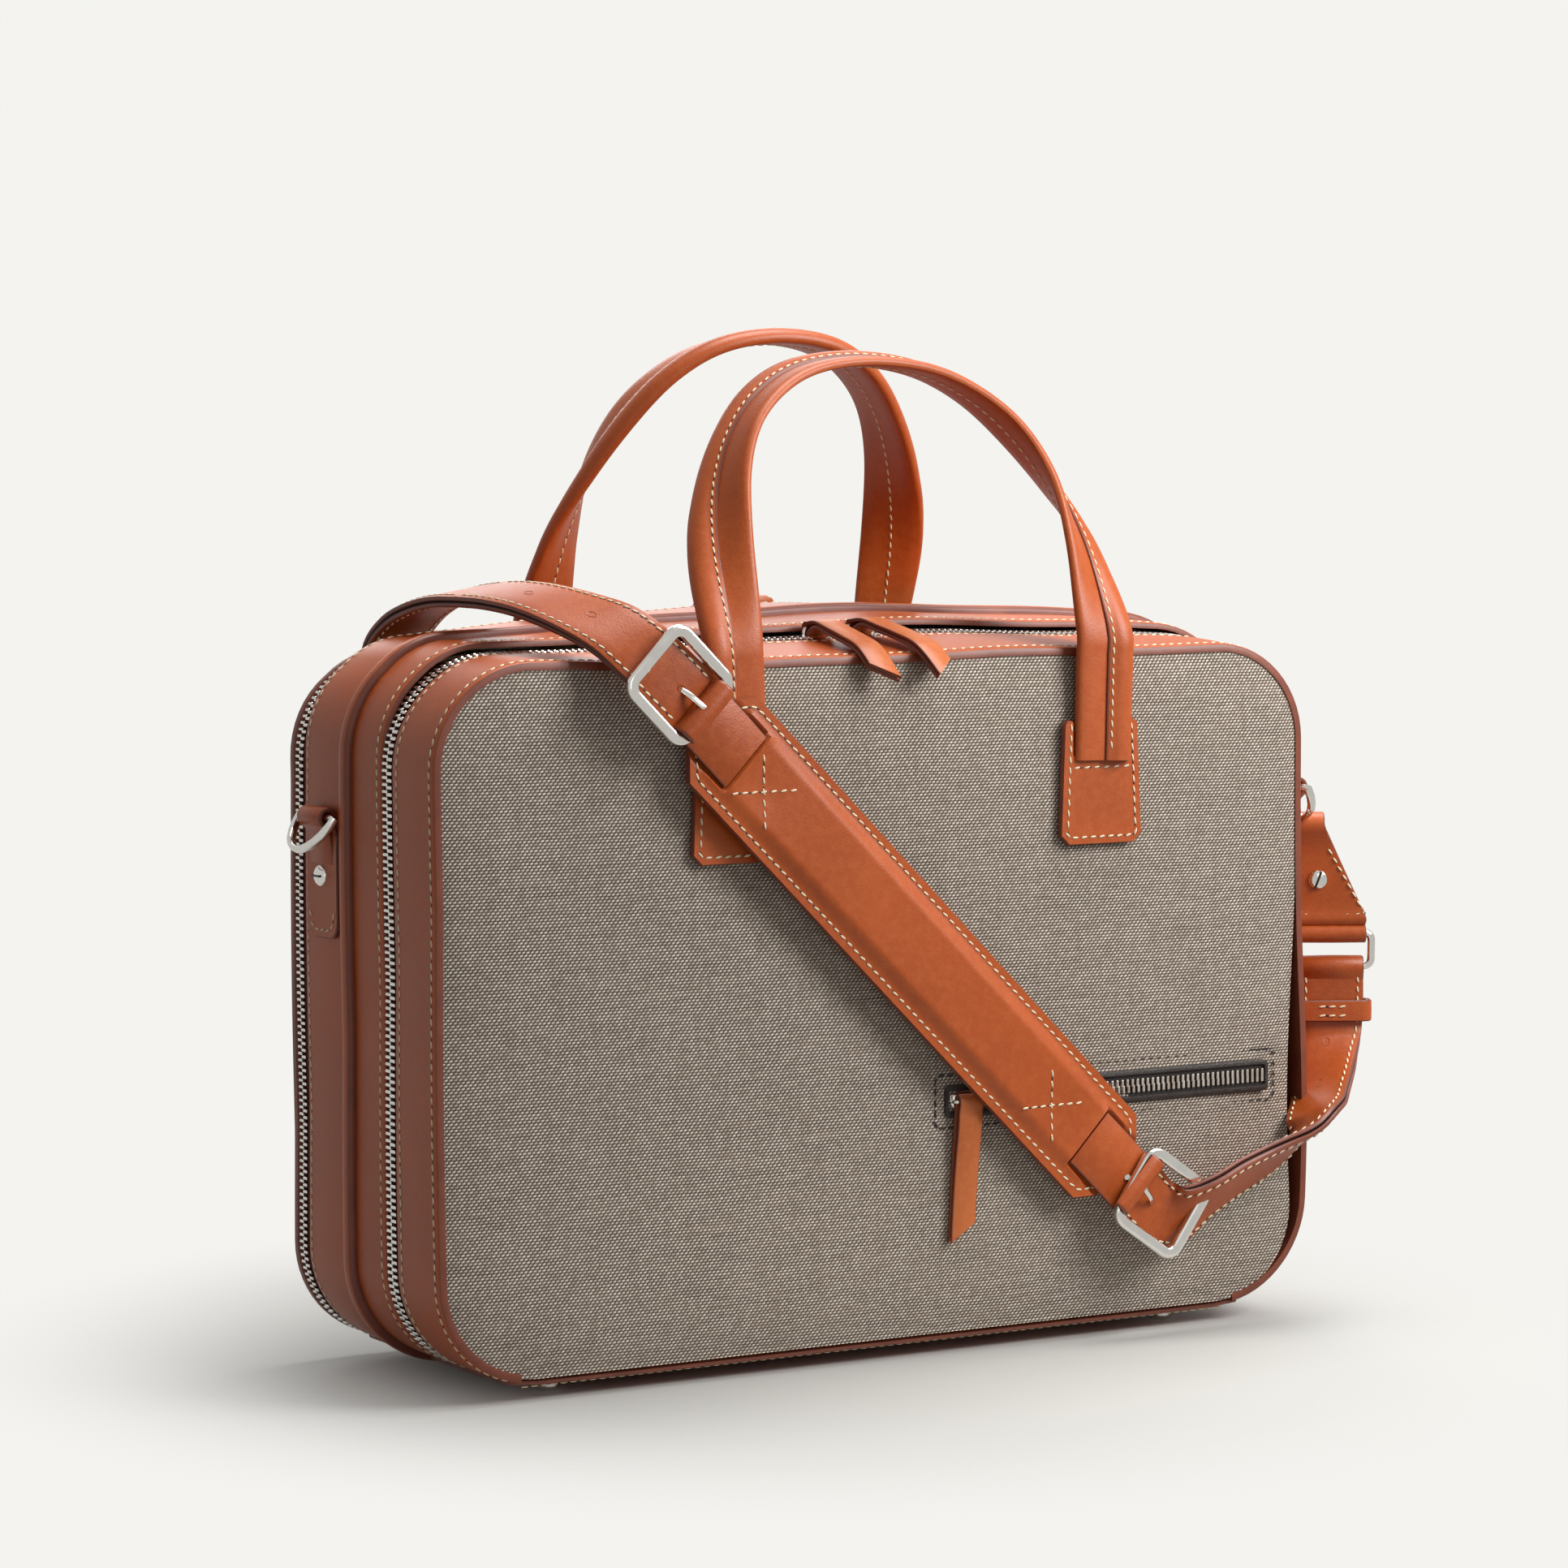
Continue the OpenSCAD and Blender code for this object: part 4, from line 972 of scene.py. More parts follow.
m = 3.3
hl, hw = PAD_LEN / 2 - m, PAD_WIDTH / 2 - m
clip = 12 - 0.6 * m
for sv in (-1, 1):
    sew("front_cover", on_pad_line([(-hl, sv * 15.9), (-hl, sv * (hw - clip)), (-hl + clip, sv * hw),
                                    (hl - clip, sv * hw), (hl, sv * (hw - clip)), (hl, sv * 15.9)][1:5]))
for c, d in CROSSES:
    k = 9.6
    sew("front_cover", on_pad_line([(c - k, d - k), (c + k, d + k)]))
    sew("front_cover", on_pad_line([(c - k, d + k), (c + k, d - k)]))


def pad_tongue(name, s, replaces):
    """Short strap from the pad's notch, looped round the buckle's bar."""
    pts = []
    bar_w = 5.9
    for u, w in ((117.5, 1.5), (126, 2.0), (135, 2.2), (BAR_U - 7, 2.1)):
        pts.append(pad_point(s * u, 0, w))
    for a in (-70, -35, 0, 35, 70, 105, 140):
        r = 4.3
        pts.append(pad_point(s * (BAR_U + r * math.cos(math.radians(a))), 0, bar_w + r * math.sin(math.radians(a))))
    widths = [pad_way(0, -s, 0)] * len(pts)
    run = Run(pts, widths, 1.5)
    profile = [(13.7, 0.5), (13.2, 0.9), (12.4, 1.05), (0, 1.15), (-12.4, 1.05), (-13.2, 0.9), (-13.7, 0.5),
               (-13.7, -0.7), (-13.2, -1.0), (13.2, -1.0), (13.7, -0.7)]
    profile = [(v, -n) for v, n in profile]
    kinds = [1, 0, 0, 0, 0, 1, 1, 1, 0, 1, 1]
    verts, faces, which = run.body(profile, kinds, caps=1)
    piece(name, verts, faces, "front_cover", [STRAP, EDGE], which, replaces, uvs=run.uvs(profile))
    for v in (-11, 11):
        line = run.line(v, -1.15, 3, 27, -1)
        sew("front_cover", line)


pad_tongue("upper_pad_tongue", -1, ["upper_tongue"])
pad_tongue("lower_pad_tongue", 1, ["lower_tongue"])


# ---------------------------------------------------------------- metal rings

def rounded_loop(w, h, r, per_corner=7):
    """Closed rounded rectangle in a plane, with the way out at each point."""
    pts = []
    for cx, cy, start in ((w / 2 - r, h / 2 - r, 0), (-w / 2 + r, h / 2 - r, 90),
                          (-w / 2 + r, -h / 2 + r, 180), (w / 2 - r, -h / 2 + r, 270)):
        for i in range(per_corner + 1):
            a = math.radians(start + 90 * i / per_corner)
            pts.append((cx + r * math.cos(a), cy + r * math.sin(a), math.cos(a), math.sin(a)))
    return pts


def ring_of(loop, place, wide, thick, power=2.0, sides=14):
    """A closed ring: its section is a superellipse, so it runs from round wire to flat bar with eased corners."""
    rings = []
    for x, y, nx, ny in loop:
        ring = []
        for k in range(sides):
            a = 2 * math.pi * k / sides
            c, s = math.cos(a), math.sin(a)
            across = math.copysign(abs(c) ** (2 / power), c) * wide / 2
            up = math.copysign(abs(s) ** (2 / power), s) * thick / 2
            ring.append(place(x + nx * across, y + ny * across, up))
        rings.append(ring)
    return loft(rings, [0], closed=True)


for s, name in ((-1, "upper"), (1, "lower")):
    loop = rounded_loop(33.6, 33.6, 5.2)
    turn = math.radians(LOWER_BUCKLE_TURN if s > 0 else 0.0)

    def hung(x, y, z, s=s, turn=turn):
        """The lower buckle hangs askew: it turns about the middle of its bar, after the strap."""
        away = s * BUCKLE_U + x - s * BAR_U
        return pad_point(s * BAR_U + away * math.cos(turn) - y * math.sin(turn),
                         away * math.sin(turn) + y * math.cos(turn), 6.2 + z + away * math.tan(turn) * 0.3)

    verts, faces, which = ring_of(loop, hung, 5.0, 3.8, 3.8, 18)
    piece(name + "_buckle_frame", verts, faces, "front_cover", [NICKEL], None,
          [name + "_buckle"], sharp=60)
    # Prong: an eye round the bar and a tapering finger that dips into the strap's hole
    pts = [pad_point(s * (BAR_U + 4.4 * math.cos(a)), 0, 5.9 + 4.4 * math.sin(a))
           for a in [math.radians(d) for d in range(-150, 61, 30)]]
    pts += [pad_point(s * (BAR_U + far), 0, up) for far, up in ((6.5, 8.6), (10, 7.2), (13, 4.6))]
    run = Run(pts, [pad_way(0, 1, 0)] * len(pts), 1.2)
    section = [(1.35 * math.cos(math.radians(d)), 1.0 * math.sin(math.radians(d))) for d in range(0, 360, 30)]
    verts, faces, which = run.body(section, [0])
    piece(name + "_buckle_prong", verts, faces, name + "_prong_body", [NICKEL], None,
          [name + "_prong"], sharp=60)


def dark_eye(centre, out, along, long=4.2, wide=2.6):
    """A punched hole in a strap: a shallow oval dish set in its face, its middle near-black as painted shade for the
    hole's depth.
    """
    out, along = out.normalized(), along.normalized()
    side = out.cross(along)
    verts = [centre - out * 0.5]
    rings = ((0.7, -0.35), (1.0, 0.04), (1.22, 0.1), (1.3, -0.3))
    n = 16
    for r, h in rings:
        for k in range(n):
            a = 2 * math.pi * k / n
            x, y = long / 2 * r * math.cos(a), wide / 2 * r * math.sin(a)
            verts.append(centre + along * x + side * y + out * h)
    faces, which = [], []
    for k in range(n):
        faces.append((0, 1 + k, 1 + (k + 1) % n))
        which.append(0)
    for r in range(len(rings) - 1):
        for k in range(n):
            a, b = 1 + r * n + k, 1 + r * n + (k + 1) % n
            faces.append((a, b, b + n, a + n))
            which.append(0 if r == 0 else 1)
    faces.append(tuple(1 + (len(rings) - 1) * n + k for k in reversed(range(n))))
    which.append(1)
    return verts, faces, which


def punch(name, run, spots, body):
    parts = []
    for where in spots:
        i = min(range(len(run.p)), key=lambda j: abs(run.s[j] - where))
        parts.append(dark_eye(run.at(i, 0, 2.72), run.n[i], run.t[i]))
    verts, faces, which = join_parts(parts)
    piece(name, verts, faces, body, [HOLE_PAINTED_SHADE, STRAP], which, uvs=[(0, 0)] * len(verts))


punch("strap_holes_over_top", UPPER_FRONT, [8, 57, 92], FRONT_BEND)
punch("strap_holes_below", LOWER, [8, 33, 132, 155], "front_cover")


def slotted_head(levels, place, slot):
    """A turned screw head through (height, radius) levels, with its slot a near-black box of painted shade; slot is
    (low, high, half length, half width, turn)."""
    rings = [[place(h, r * math.cos(2 * math.pi * k / 20), r * math.sin(2 * math.pi * k / 20)) for k in range(20)]
             for h, r in levels]
    low, high, long, wide, turn = slot
    c, s = math.cos(turn), math.sin(turn)
    box = [place(h, a * c - b * s, a * s + b * c)
           for h in (low, high) for a, b in ((-long, -wide), (long, -wide), (long, wide), (-long, wide))]
    return join_parts([loft(rings, [0]), (box, BOX_FACES, [1] * 6)])


def ring_tab_side(x_sign, y, drop, tab_name, ring_name, screw_name, body, ring_body):
    """Ring tab on a side wall: a sewn round-cornered tab rolled over a D-ring's bar, held by a dome screw."""
    def out(x, y2, z):
        return Vector((x_sign * (HALF_WIDTH + x), y2, z))

    # Flat tab with eased corners
    outline = [(px, pz) for px, pz, _, _ in rounded_loop(27, 46, 7)]
    front = [out(3.0, y + px, 204 + pz) for px, pz in outline]
    mid = [out(2.4, y + px * 1.03, 204 + pz * 1.02) for px, pz in outline]
    back = [out(0.2, y + px * 1.03, 204 + pz * 1.02) for px, pz in outline]
    # Roll over the ring's bar: up the face, round and down behind
    pts = [out(2.2, y, 211), out(2.8, y, 219), out(4.4, y, 225)]
    for a in range(-60, 181, 20):
        t = math.radians(a)
        pts.append(out(4.7 + 3.5 * math.cos(t), y, 230 + 3.5 * math.sin(t)))
    pts += [out(0.9, y, 222)]
    run = Run(pts, [Vector((0, -x_sign, 0))] * len(pts), 1.4)
    prof = strip_section(10.5, 0.85, fall=-0.95)
    roll = run.body(prof, STRIP_KINDS, caps=1)
    verts, faces, which = join_parts([plate((front, mid, back)), roll])
    piece(tab_name + "_leather", verts, faces, body, [COGNAC, EDGE], which, [tab_name])
    sew(body, [(out(3.1, y + px * 0.8, 204 + pz * 0.88), Vector((x_sign, 0, 0)))
               for px, pz in outline[14:] + outline[:1] if pz < 12])
    # Dome screw with its slot
    centre = out(3.0, y, 206)
    verts, faces, which = slotted_head(
        ((-0.3, 4.6), (0.5, 4.6), (1.3, 4.2), (2.2, 3.2), (2.8, 1.8), (3.0, 0.4)),
        lambda h, a, b: centre + Vector((x_sign * h, a, b)), (1.2, 3.06, 3.6, 0.45, 0.0))
    piece(screw_name + "_dome", verts, faces, body, [NICKEL, HOLE_PAINTED_SHADE], which, [screw_name])
    # D-ring: straight bar inside the roll, round bow outside
    d = math.radians(drop)
    outward = Vector((x_sign * math.cos(d), 0, -math.sin(d)))
    upward = Vector((x_sign * math.sin(d), 0, math.cos(d)))
    pivot = out(4.7, y, 230)
    loop = []
    for k in range(13):
        a = math.radians(-90 + 180 * k / 12)
        loop.append((16 * math.cos(a) * 0.98, 16 * math.sin(a), math.cos(a), math.sin(a)))
    for k in range(1, 8):
        loop.append((0, 16 - 4 * k, -1, 0))

    def place(px, py, pz):
        return pivot + outward * px + Vector((0, py, 0)) + upward * pz

    verts, faces, which = ring_of(loop, place, 2.9, 3.9, 2.6)
    piece(ring_name + "_bow", verts, faces, ring_body, [NICKEL], None, [ring_name], sharp=60)


ring_tab_side(-1, 31, 55, "left_ring_tab", "left_d_ring", "left_ring_screw", "bag_core", "left_ring")
ring_tab_side(1, -49, 62, "right_ring_tab", "right_d_ring", "right_ring_screw", "front_cover", "front_cover")


# ---------------------------------------------------------------- strap ends

# Radius of the connector's roll round the square ring
CONNECTOR_ROLL = 3.6


def strap_end(prefix, at, turn, tilt, upside, skew, ring_body, conn_body, strap_body):
    """Square ring, folded connector with its screw, and the strap's fold round the ring; local Z leads away from
    the strap."""
    frame_m = Matrix.Rotation(turn, 4, "Z") @ Matrix.Rotation(tilt, 4, "X")
    if upside:
        frame_m = Matrix.Rotation(math.pi, 4, "X")

    def place(x, y, z):
        return Vector(at) + frame_m @ Vector((x, y, z))

    def way(x, y, z):
        return frame_m @ Vector((x, y, z))

    loop = [(x, z + 7.5, nx, nz) for x, z, nx, nz in rounded_loop(35, 15, 3.2)]
    verts, faces, which = ring_of(loop, lambda x, z, t: place(x, t, z), 3.4, 3.4, 2.2)
    piece(prefix + "_square_ring_wire", verts, faces, ring_body, [NICKEL], None,
          [prefix + "_square_ring"], sharp=60)
    # Connector: two leaves that part round the ring and round the loop at the other end
    high = 15 + 49
    parts = []
    for face in (-1, 1):
        course = [(0, 0, 15 - CONNECTOR_ROLL)]
        for a in (-70, -40, -10, 20, 50, 80):
            t = math.radians(a)
            course.append((0, face * CONNECTOR_ROLL * math.cos(t), 15 + CONNECTOR_ROLL * math.sin(t)))
        course += [(0, face * y, z) for y, z in ((2.6, 21), (1.7, 27), (1.5, 40), (1.6, 52), (2.6, 58))]
        for a in (-20, 10, 40, 70, 90):
            t = math.radians(a)
            course.append((0, face * 4.4 * math.cos(t), high + 4.4 * math.sin(t)))
        rings = []
        line = through([tuple(c) for c in course], 1.6)
        for i, (x, y, z) in enumerate(line):
            f = min(1, max(0, (z - 17) / (high - 17)))
            hw_here = 15.0 + 2.4 * smooth_step((z - 17) / 6) - 8.2 * f
            cx = skew * f
            nxt, prv = line[min(i + 1, len(line) - 1)], line[max(i - 1, 0)]
            ty, tz = nxt[1] - prv[1], nxt[2] - prv[2]
            size = math.hypot(ty, tz) or 1
            ny, nz = face * tz / size, -face * ty / size
            ring = []
            for v, n in strip_section(hw_here, 0.9, 0.5, shoulder=0.3):
                ring.append(place(cx + v, y + ny * n, z + nz * n))
            rings.append(ring)
        parts.append(loft(rings, STRIP_KINDS, caps=1))
    verts, faces, which = join_parts(parts)
    piece(prefix + "_connector_leather", verts, faces, conn_body, [COGNAC, EDGE], which,
          [prefix + "_connector"])
    for face in (-1, 1):
        row = []
        for x, z in ((skew * 0.75 - 8.6, 52), (-14.2, 24), (14.2, 24), (skew * 0.75 + 8.6, 52)):
            row.append((x, z))
        line = []
        for (x0, z0), (x1, z1) in zip(row, row[1:]):
            n = max(1, round(math.hypot(x1 - x0, z1 - z0) / 2))
            for i in range(n + (1 if (x1, z1) == row[-1] else 0)):
                line.append((place(x0 + (x1 - x0) * i / n, face * 2.75, z0 + (z1 - z0) * i / n), way(0, face, 0)))
        sew(conn_body, line)
    # Slotted screw head
    verts, faces, which = slotted_head(
        ((-0.3, 4.3), (0.6, 4.3), (1.2, 3.9), (1.6, 2.6), (1.75, 0.4)),
        lambda h, a, b: place(skew * 0.5 + a, -2.4 - h, 15 + 49 * 0.5 + b), (0.6, 1.82, 4.0, 0.5, math.radians(70)))
    piece(prefix + "_connector_screw_head", verts, faces, conn_body, [NICKEL, HOLE_PAINTED_SHADE], which,
          [prefix + "_connector_screw"])
    # The strap's own fold round the ring's near bar
    pts = [place(0, -1.6, -7)]
    for a in range(200, -21, -20):
        t = math.radians(a)
        pts.append(place(0, 3.6 * math.cos(t), 3.6 * math.sin(t)))
    pts.append(place(0, 1.6, -7))
    run = Run(pts, [way(1, 0, 0)] * len(pts), 1.4)
    prof = strip_section(14, 1.0, shoulder=0.5, crown=0.15)
    verts, faces, which = run.body(prof, STRIP_KINDS, caps=1)
    piece(prefix + "_strap_fold", verts, faces, strap_body, [STRAP, EDGE], which, uvs=run.uvs(prof))


strap_end("lower", (239.8, -49, 149.5), END_TURN, math.radians(7.2), False, -13.5, "front_cover", "front_cover",
          "front_cover")
strap_end("upper", (-158, 78.5, 222), 0, 0, True, 0, "free_ring", "free_connector", "rear_cover")


def keeper(name, centre, turn, tilt, body, replaces):
    """A keeper: a narrow band round the doubled strap, its ends butted and sewn with two pairs of stitches."""
    m = Matrix.Rotation(tilt, 4, "Y") @ Matrix.Rotation(turn, 4, "Z")

    def place(x, y, z):
        return Vector(centre) + m @ Vector((x, y, z))

    loop = rounded_loop(33.4, 9.6, 3.6, 6)
    half = 4.7
    section = ((-1.1, -half + 0.5), (-0.6, -half), (0.6, -half), (1.1, -half + 0.5), (1.2, 0.0), (1.1, half - 0.5),
               (0.6, half), (-0.6, half), (-1.1, half - 0.5))
    rings = [[place(x + nx * a, y + ny * a, b) for a, b in section] for x, y, nx, ny in loop]
    verts, faces, which = loft(rings, [1, 1, 1, 0, 0, 1, 1, 1, 0], closed=True)
    piece(name, verts, faces, body, [COGNAC, EDGE], which, replaces)
    for z in (-2, 2):
        sew(body, [(place(-4.4, -6.1, z), m @ Vector((0, -1, 0))), (place(4.4, -6.1, z), m @ Vector((0, -1, 0)))])


keeper("lower_strap_keeper", (239.7, -49, 130), END_TURN, 0.0, "front_cover", ["lower_keeper"])
keeper("upper_strap_keeper", (-158, 78.5, 248), math.pi, 0, "rear_cover", ["upper_keeper"])


# ---------------------------------------------------------------- handle tabs

def handle_tab(x, side, slot_z, body):
    """Sewn tab with a squared cut for the handle leg."""
    half_top, half_low = 18.5, 20.5
    top, low = 264.0, 211.5
    notch = 14.6
    outline = [(half_low - 4, low), (half_low, low + 4), (half_top, top - 1.5), (half_top - 1.2, top),
               (notch + 0.4, top), (notch, top - 0.6), (notch, slot_z + 2.0), (notch - 2.0, slot_z)]
    outline += [(-a, b) for a, b in reversed(outline)]
    y_in, y_out = side * 69.6, side * 72.5
    front = [Vector((x + a * 0.985, y_out, 238 + (b - 238) * 0.985)) for a, b in outline]
    shoulder = [Vector((x + a, y_out - side * 0.6, b)) for a, b in outline]
    back = [Vector((x + a, y_in, b)) for a, b in outline]
    edge = 3.2
    row = [(half_top - edge, top - 3), (half_low - edge, low + edge + 1), (half_low - edge - 1, low + edge),
           (-half_low + edge + 1, low + edge), (-half_low + edge, low + edge + 1), (-half_top + edge, top - 3)]
    line = [(Vector((x + a, y_out + side * 0.06, b)), Vector((0, side, 0))) for a, b in row]
    sew(body, finely(line, 3) + line[-1:])
    sew(body, [(Vector((x + a, y_out + side * 0.06, slot_z - 3.4)), Vector((0, side, 0))) for a in (-12.5, 0, 12.5)])
    return plate((front, shoulder, back))


for side, body, node in ((-1, "front_cover", "front_handle_tabs"), (1, "rear_cover", "rear_handle_tabs")):
    tab_low, tab_high = box_of(node)
    # A tab's middle lies 18.5 mm inside the box of the pair
    parts = [handle_tab(x, side, 247.5, body) for x in (tab_low[0] + 18.5, tab_high[0] - 18.5)]
    verts, faces, which = join_parts(parts)
    piece(node + "_leather", verts, faces, body, [COGNAC, EDGE], which, [node], sharp=35)


# ---------------------------------------------------------------- pocket

# Ends of the pocket's mouth and the height of its zip
zip_low, zip_high = box_of("pocket_zip")
X0, X1, PZ = round(zip_low[0] - 0.2, 1), round(zip_high[0] + 0.2, 1), middle_of("pocket_zip").z


def pocket_frame():
    """Grained leather welt round the pocket's mouth, standing slightly proud of the canvas."""
    outer = [(x, z) for x, z, _, _ in rounded_loop(X1 - X0 + 4, 13.4, 2.0, 4)]
    inner = [(x, z) for x, z, _, _ in rounded_loop(X1 - X0 + 0.6, 8.8, 1.2, 4)]
    mid = (X0 + X1) / 2
    levels = ((outer, -68.6), (outer, -69.9), ([(x * 0.998, z * 0.92) for x, z in outer], -70.2),
              ([(x * 1.002, z * 1.08) for x, z in inner], -70.1), (inner, -69.6), (inner, -66.5))
    rings = [[Vector((mid + x, y, PZ + z)) for x, z in loop] for loop, y in levels]
    n = len(outer)
    verts = [p for ring in rings for p in ring]
    faces, which = [], []
    for i in range(len(rings)):
        j = (i + 1) % len(rings)
        for k in range(n):
            m2 = (k + 1) % n
            faces.append((i * n + k, i * n + m2, j * n + m2, j * n + k))
            which.append(0)
    piece("pocket_mouth_welt", verts, faces, "front_cover", [GRAINED], which, ["pocket_welt"])
    loop = [(Vector((mid + x, -front_depth(mid + x, PZ + z) - 0.35, PZ + z)), Vector((0, -1, 0)))
            for x, z, _, _ in rounded_loop(X1 - X0 + 13, 22, 2.0, 3)]
    sew("front_cover", finely(loop + loop[:1], 5), "dark")


pocket_frame()
bed = [Vector((x, y, PZ + z)) for x in (X0, X1)
       for y, z in ((-68.8, -4.8), (-68.9, 4.8), (-66.2, 4.8), (-66.2, -4.8))]
piece("pocket_zip_tape", bed, [(0, 1, 5, 4), (1, 2, 6, 5), (2, 3, 7, 6), (3, 0, 4, 7), (0, 3, 2, 1), (4, 5, 6, 7)],
      "front_cover", [DARK_TAPE], None, ["pocket_zip"])
POCKET_TOOTH = tooth_mesh("pocket_tooth", 3.3, 1.3, 1.5)
for name, dz, offset in (("pocket_teeth_upper", 1.3, 0.0), ("pocket_teeth_lower", -1.3, 1.3)):
    line = [(Vector((X0 + 1 + (X1 - X0 - 2) * i / 30, -69.5, PZ + dz)), Vector((0, -1, 0))) for i in range(31)]
    repeat(name, [line], POCKET_TOOTH, 2.6, BRONZE, "front_cover", start=offset)


# ---------------------------------------------------------------- sliders and pulls

def slider_piece(prefix, place, body, replaces):
    """Zip slider: a domed plate over the teeth, a plate under them, and a wide bail that carries the pull."""
    parts = []
    for levels in (((1.9, 6.6, 4.6), (2.3, 7.0, 5.0), (3.0, 6.6, 4.6), (3.7, 5.0, 3.2), (3.9, 2.5, 1.4)),
                   ((-3.2, 6.4, 4.2), (-2.9, 6.7, 4.5), (-2.0, 6.4, 4.2))):
        rings = []
        for h, a, b in levels:
            ring = []
            for k in range(20):
                t = 2 * math.pi * k / 20
                c, s = math.cos(t), math.sin(t)
                ring.append(place(math.copysign(abs(c) ** 0.7, c) * a * (1 - 0.18 * (s * s)),
                                  math.copysign(abs(s) ** 0.7, s) * b, h))
            rings.append(ring)
        parts.append(loft(rings, [0]))
    # Bail: a rounded staple across the slider
    half = [(6.2, 2.0), (6.4, 4.6), (5.6, 6.3), (3.6, 6.9)]
    pts = [(-x, z) for x, z in half] + [(0, 7.0)] + half[::-1]
    smooth = through([(x, 0.0, z) for x, z in pts], 0.9)
    rings = []
    for i, (x, _, z) in enumerate(smooth):
        q, r = smooth[min(i + 1, len(smooth) - 1)], smooth[max(i - 1, 0)]
        tx, tz = q[0] - r[0], q[2] - r[2]
        size = math.hypot(tx, tz) or 1
        nx, nz = -tz / size, tx / size
        rings.append([place(x + nx * 0.75 * math.cos(a), 0.95 * math.sin(a), z + nz * 0.75 * math.cos(a))
                      for a in [2 * math.pi * k / 10 for k in range(10)]])
    parts.append(loft(rings, [0]))
    verts, faces, which = join_parts(parts)
    piece(prefix + "_cast", verts, faces, body, [NICKEL], None, replaces, sharp=50)


# How steeply a pull's ends are cut, as rise over width
PULL_SLANT = 0.75


def pull_piece(prefix, points, width_way, body, replaces, point_sign=1, stitch_from=38):
    """Doubled leather pull: one strip folded through the bail, both ends cut on the slant and lying together."""
    run = Run(points, [width_way] * len(points), 1.6)
    half = 5.8
    section = strip_section(half, 0.7, 0.35, -0.75, 0.25, -0.5)
    rings = []
    last = len(run.p) - 1
    for i in range(last + 1):
        ring = []
        for v, n in section:
            p = run.at(i, v, n)
            reach = run.s[i] if i < last / 2 else run.s[-1] - run.s[i]
            fade = max(0.0, 1 - reach / 9.0)
            direction = -run.t[i] if i < last / 2 else run.t[i]
            p = p + direction * (point_sign * v * PULL_SLANT * fade)
            ring.append(p)
        rings.append(ring)
    verts, faces, which = loft(rings, STRIP_KINDS, caps=1)
    piece(prefix + "_strip", verts, faces, body, [PULL, EDGE], which, replaces)
    sew(body, run.line(0, 0.85, run.s[-1] - stitch_from - 13, run.s[-1] - stitch_from))


def folded_course(outer_pts, inner_pts):
    """Inner leaf up to the bail, round it, and out again as the outer leaf; points are (forward, up)."""
    course = list(reversed(inner_pts))
    radius, steps = 2.35, 7
    for k in range(steps):
        a = math.radians(290 - 220 * k / (steps - 1))
        course.append((radius * math.cos(a), radius * math.sin(a)))
    return course + list(outer_pts)


BAIL = 6.5
TOP_PLACE_Z = COVER_TOP - 2.7 - 0.4
for name, x, bend in (("front_left", -10.5, 0.5), ("front_right", 10.5, 8.5)):
    def place(px, py, pz, x=x):
        return Vector((x + px, FRONT_ZIP_Y + py, TOP_PLACE_Z + top_lift(x, FRONT_ZIP_Y) + pz))
    slider_piece(name + "_slider", place, name + "_slider_body", [name + "_slider"])
    # (forward, up) from the bail; the leaf lies over the edge and hangs in front
    outer = [(7, 2.7), (17, 0.3), (28, -2.5), (39, -5.7), (46, -10.0), (53, -16.0)]
    inner = [(7, 0.8), (17, -1.6), (28, -4.4), (38.2, -7.4), (44.8, -11.6), (51.6, -17.4)]
    course = folded_course(outer, inner)
    pts = []
    for f, u in course:
        f2 = max(0.0, f)
        side = bend * f2 / 52
        pts.append(Vector((x + side, FRONT_ZIP_Y - f, TOP_PLACE_Z + BAIL + top_lift(x, FRONT_ZIP_Y) + u)))
    pull_piece(name + "_pull", pts, Vector((1, bend * 0.02, 0)), name + "_pull_body", [name + "_pull"],
               point_sign=-1 if x > 0 else 1)

for name, x in (("rear_left", -10.5), ("rear_right", 10.5)):
    def place(px, py, pz, x=x):
        return Vector((x + px, REAR_ZIP_Y + py * 0.72, TOP_PLACE_Z + top_lift(x, REAR_ZIP_Y) + pz))
    slider_piece(name + "_slider", place, name + "_slider_body", [name + "_slider"])
    outer = [(4.5, 3.2), (9.4, 1.0), (13.4, -4), (15.4, -12), (16.4, -28), (16.8, -50)]
    inner = [(4.2, 1.0), (8.2, -1.2), (11.6, -5.6), (13.4, -13), (14.5, -28), (14.9, -50)]
    course = folded_course(outer, inner)
    pts = [Vector((x, REAR_ZIP_Y + f, TOP_PLACE_Z + BAIL + top_lift(x, REAR_ZIP_Y) + u)) for f, u in course]
    pull_piece(name + "_pull", pts, Vector((-1, 0, 0)), name + "_pull_body", [name + "_pull"])


def place(px, py, pz):
    return Vector((X0 + 8 + px, -67.8 - pz * 0.75, PZ + py * 0.9))


slider_piece("pocket_slider", place, "pocket_slider_body", ["pocket_slider"])
outer = [(5.6, 4.0), (5.6, 10), (4.4, 24), (3.6, 40), (3.4, 55)]
inner = [(2.6, 4.0), (2.4, 10), (1.6, 24), (1.2, 40), (1.2, 55)]
course = list(reversed(inner)) + [(2.3, 0.2), (2.8, -1.8), (4.4, -2.6), (5.9, -1.2), (6.1, 1.2)] + outer
pts = [Vector((X0 + 8 - 0.05 * max(0, d), -68.4 - f, PZ - d)) for f, d in course]
pull_piece("pocket_pull", pts, Vector((1, 0, 0)), "pocket_pull_body", ["pocket_pull"], point_sign=-1, stitch_from=32)


# ---------------------------------------------------------------- base

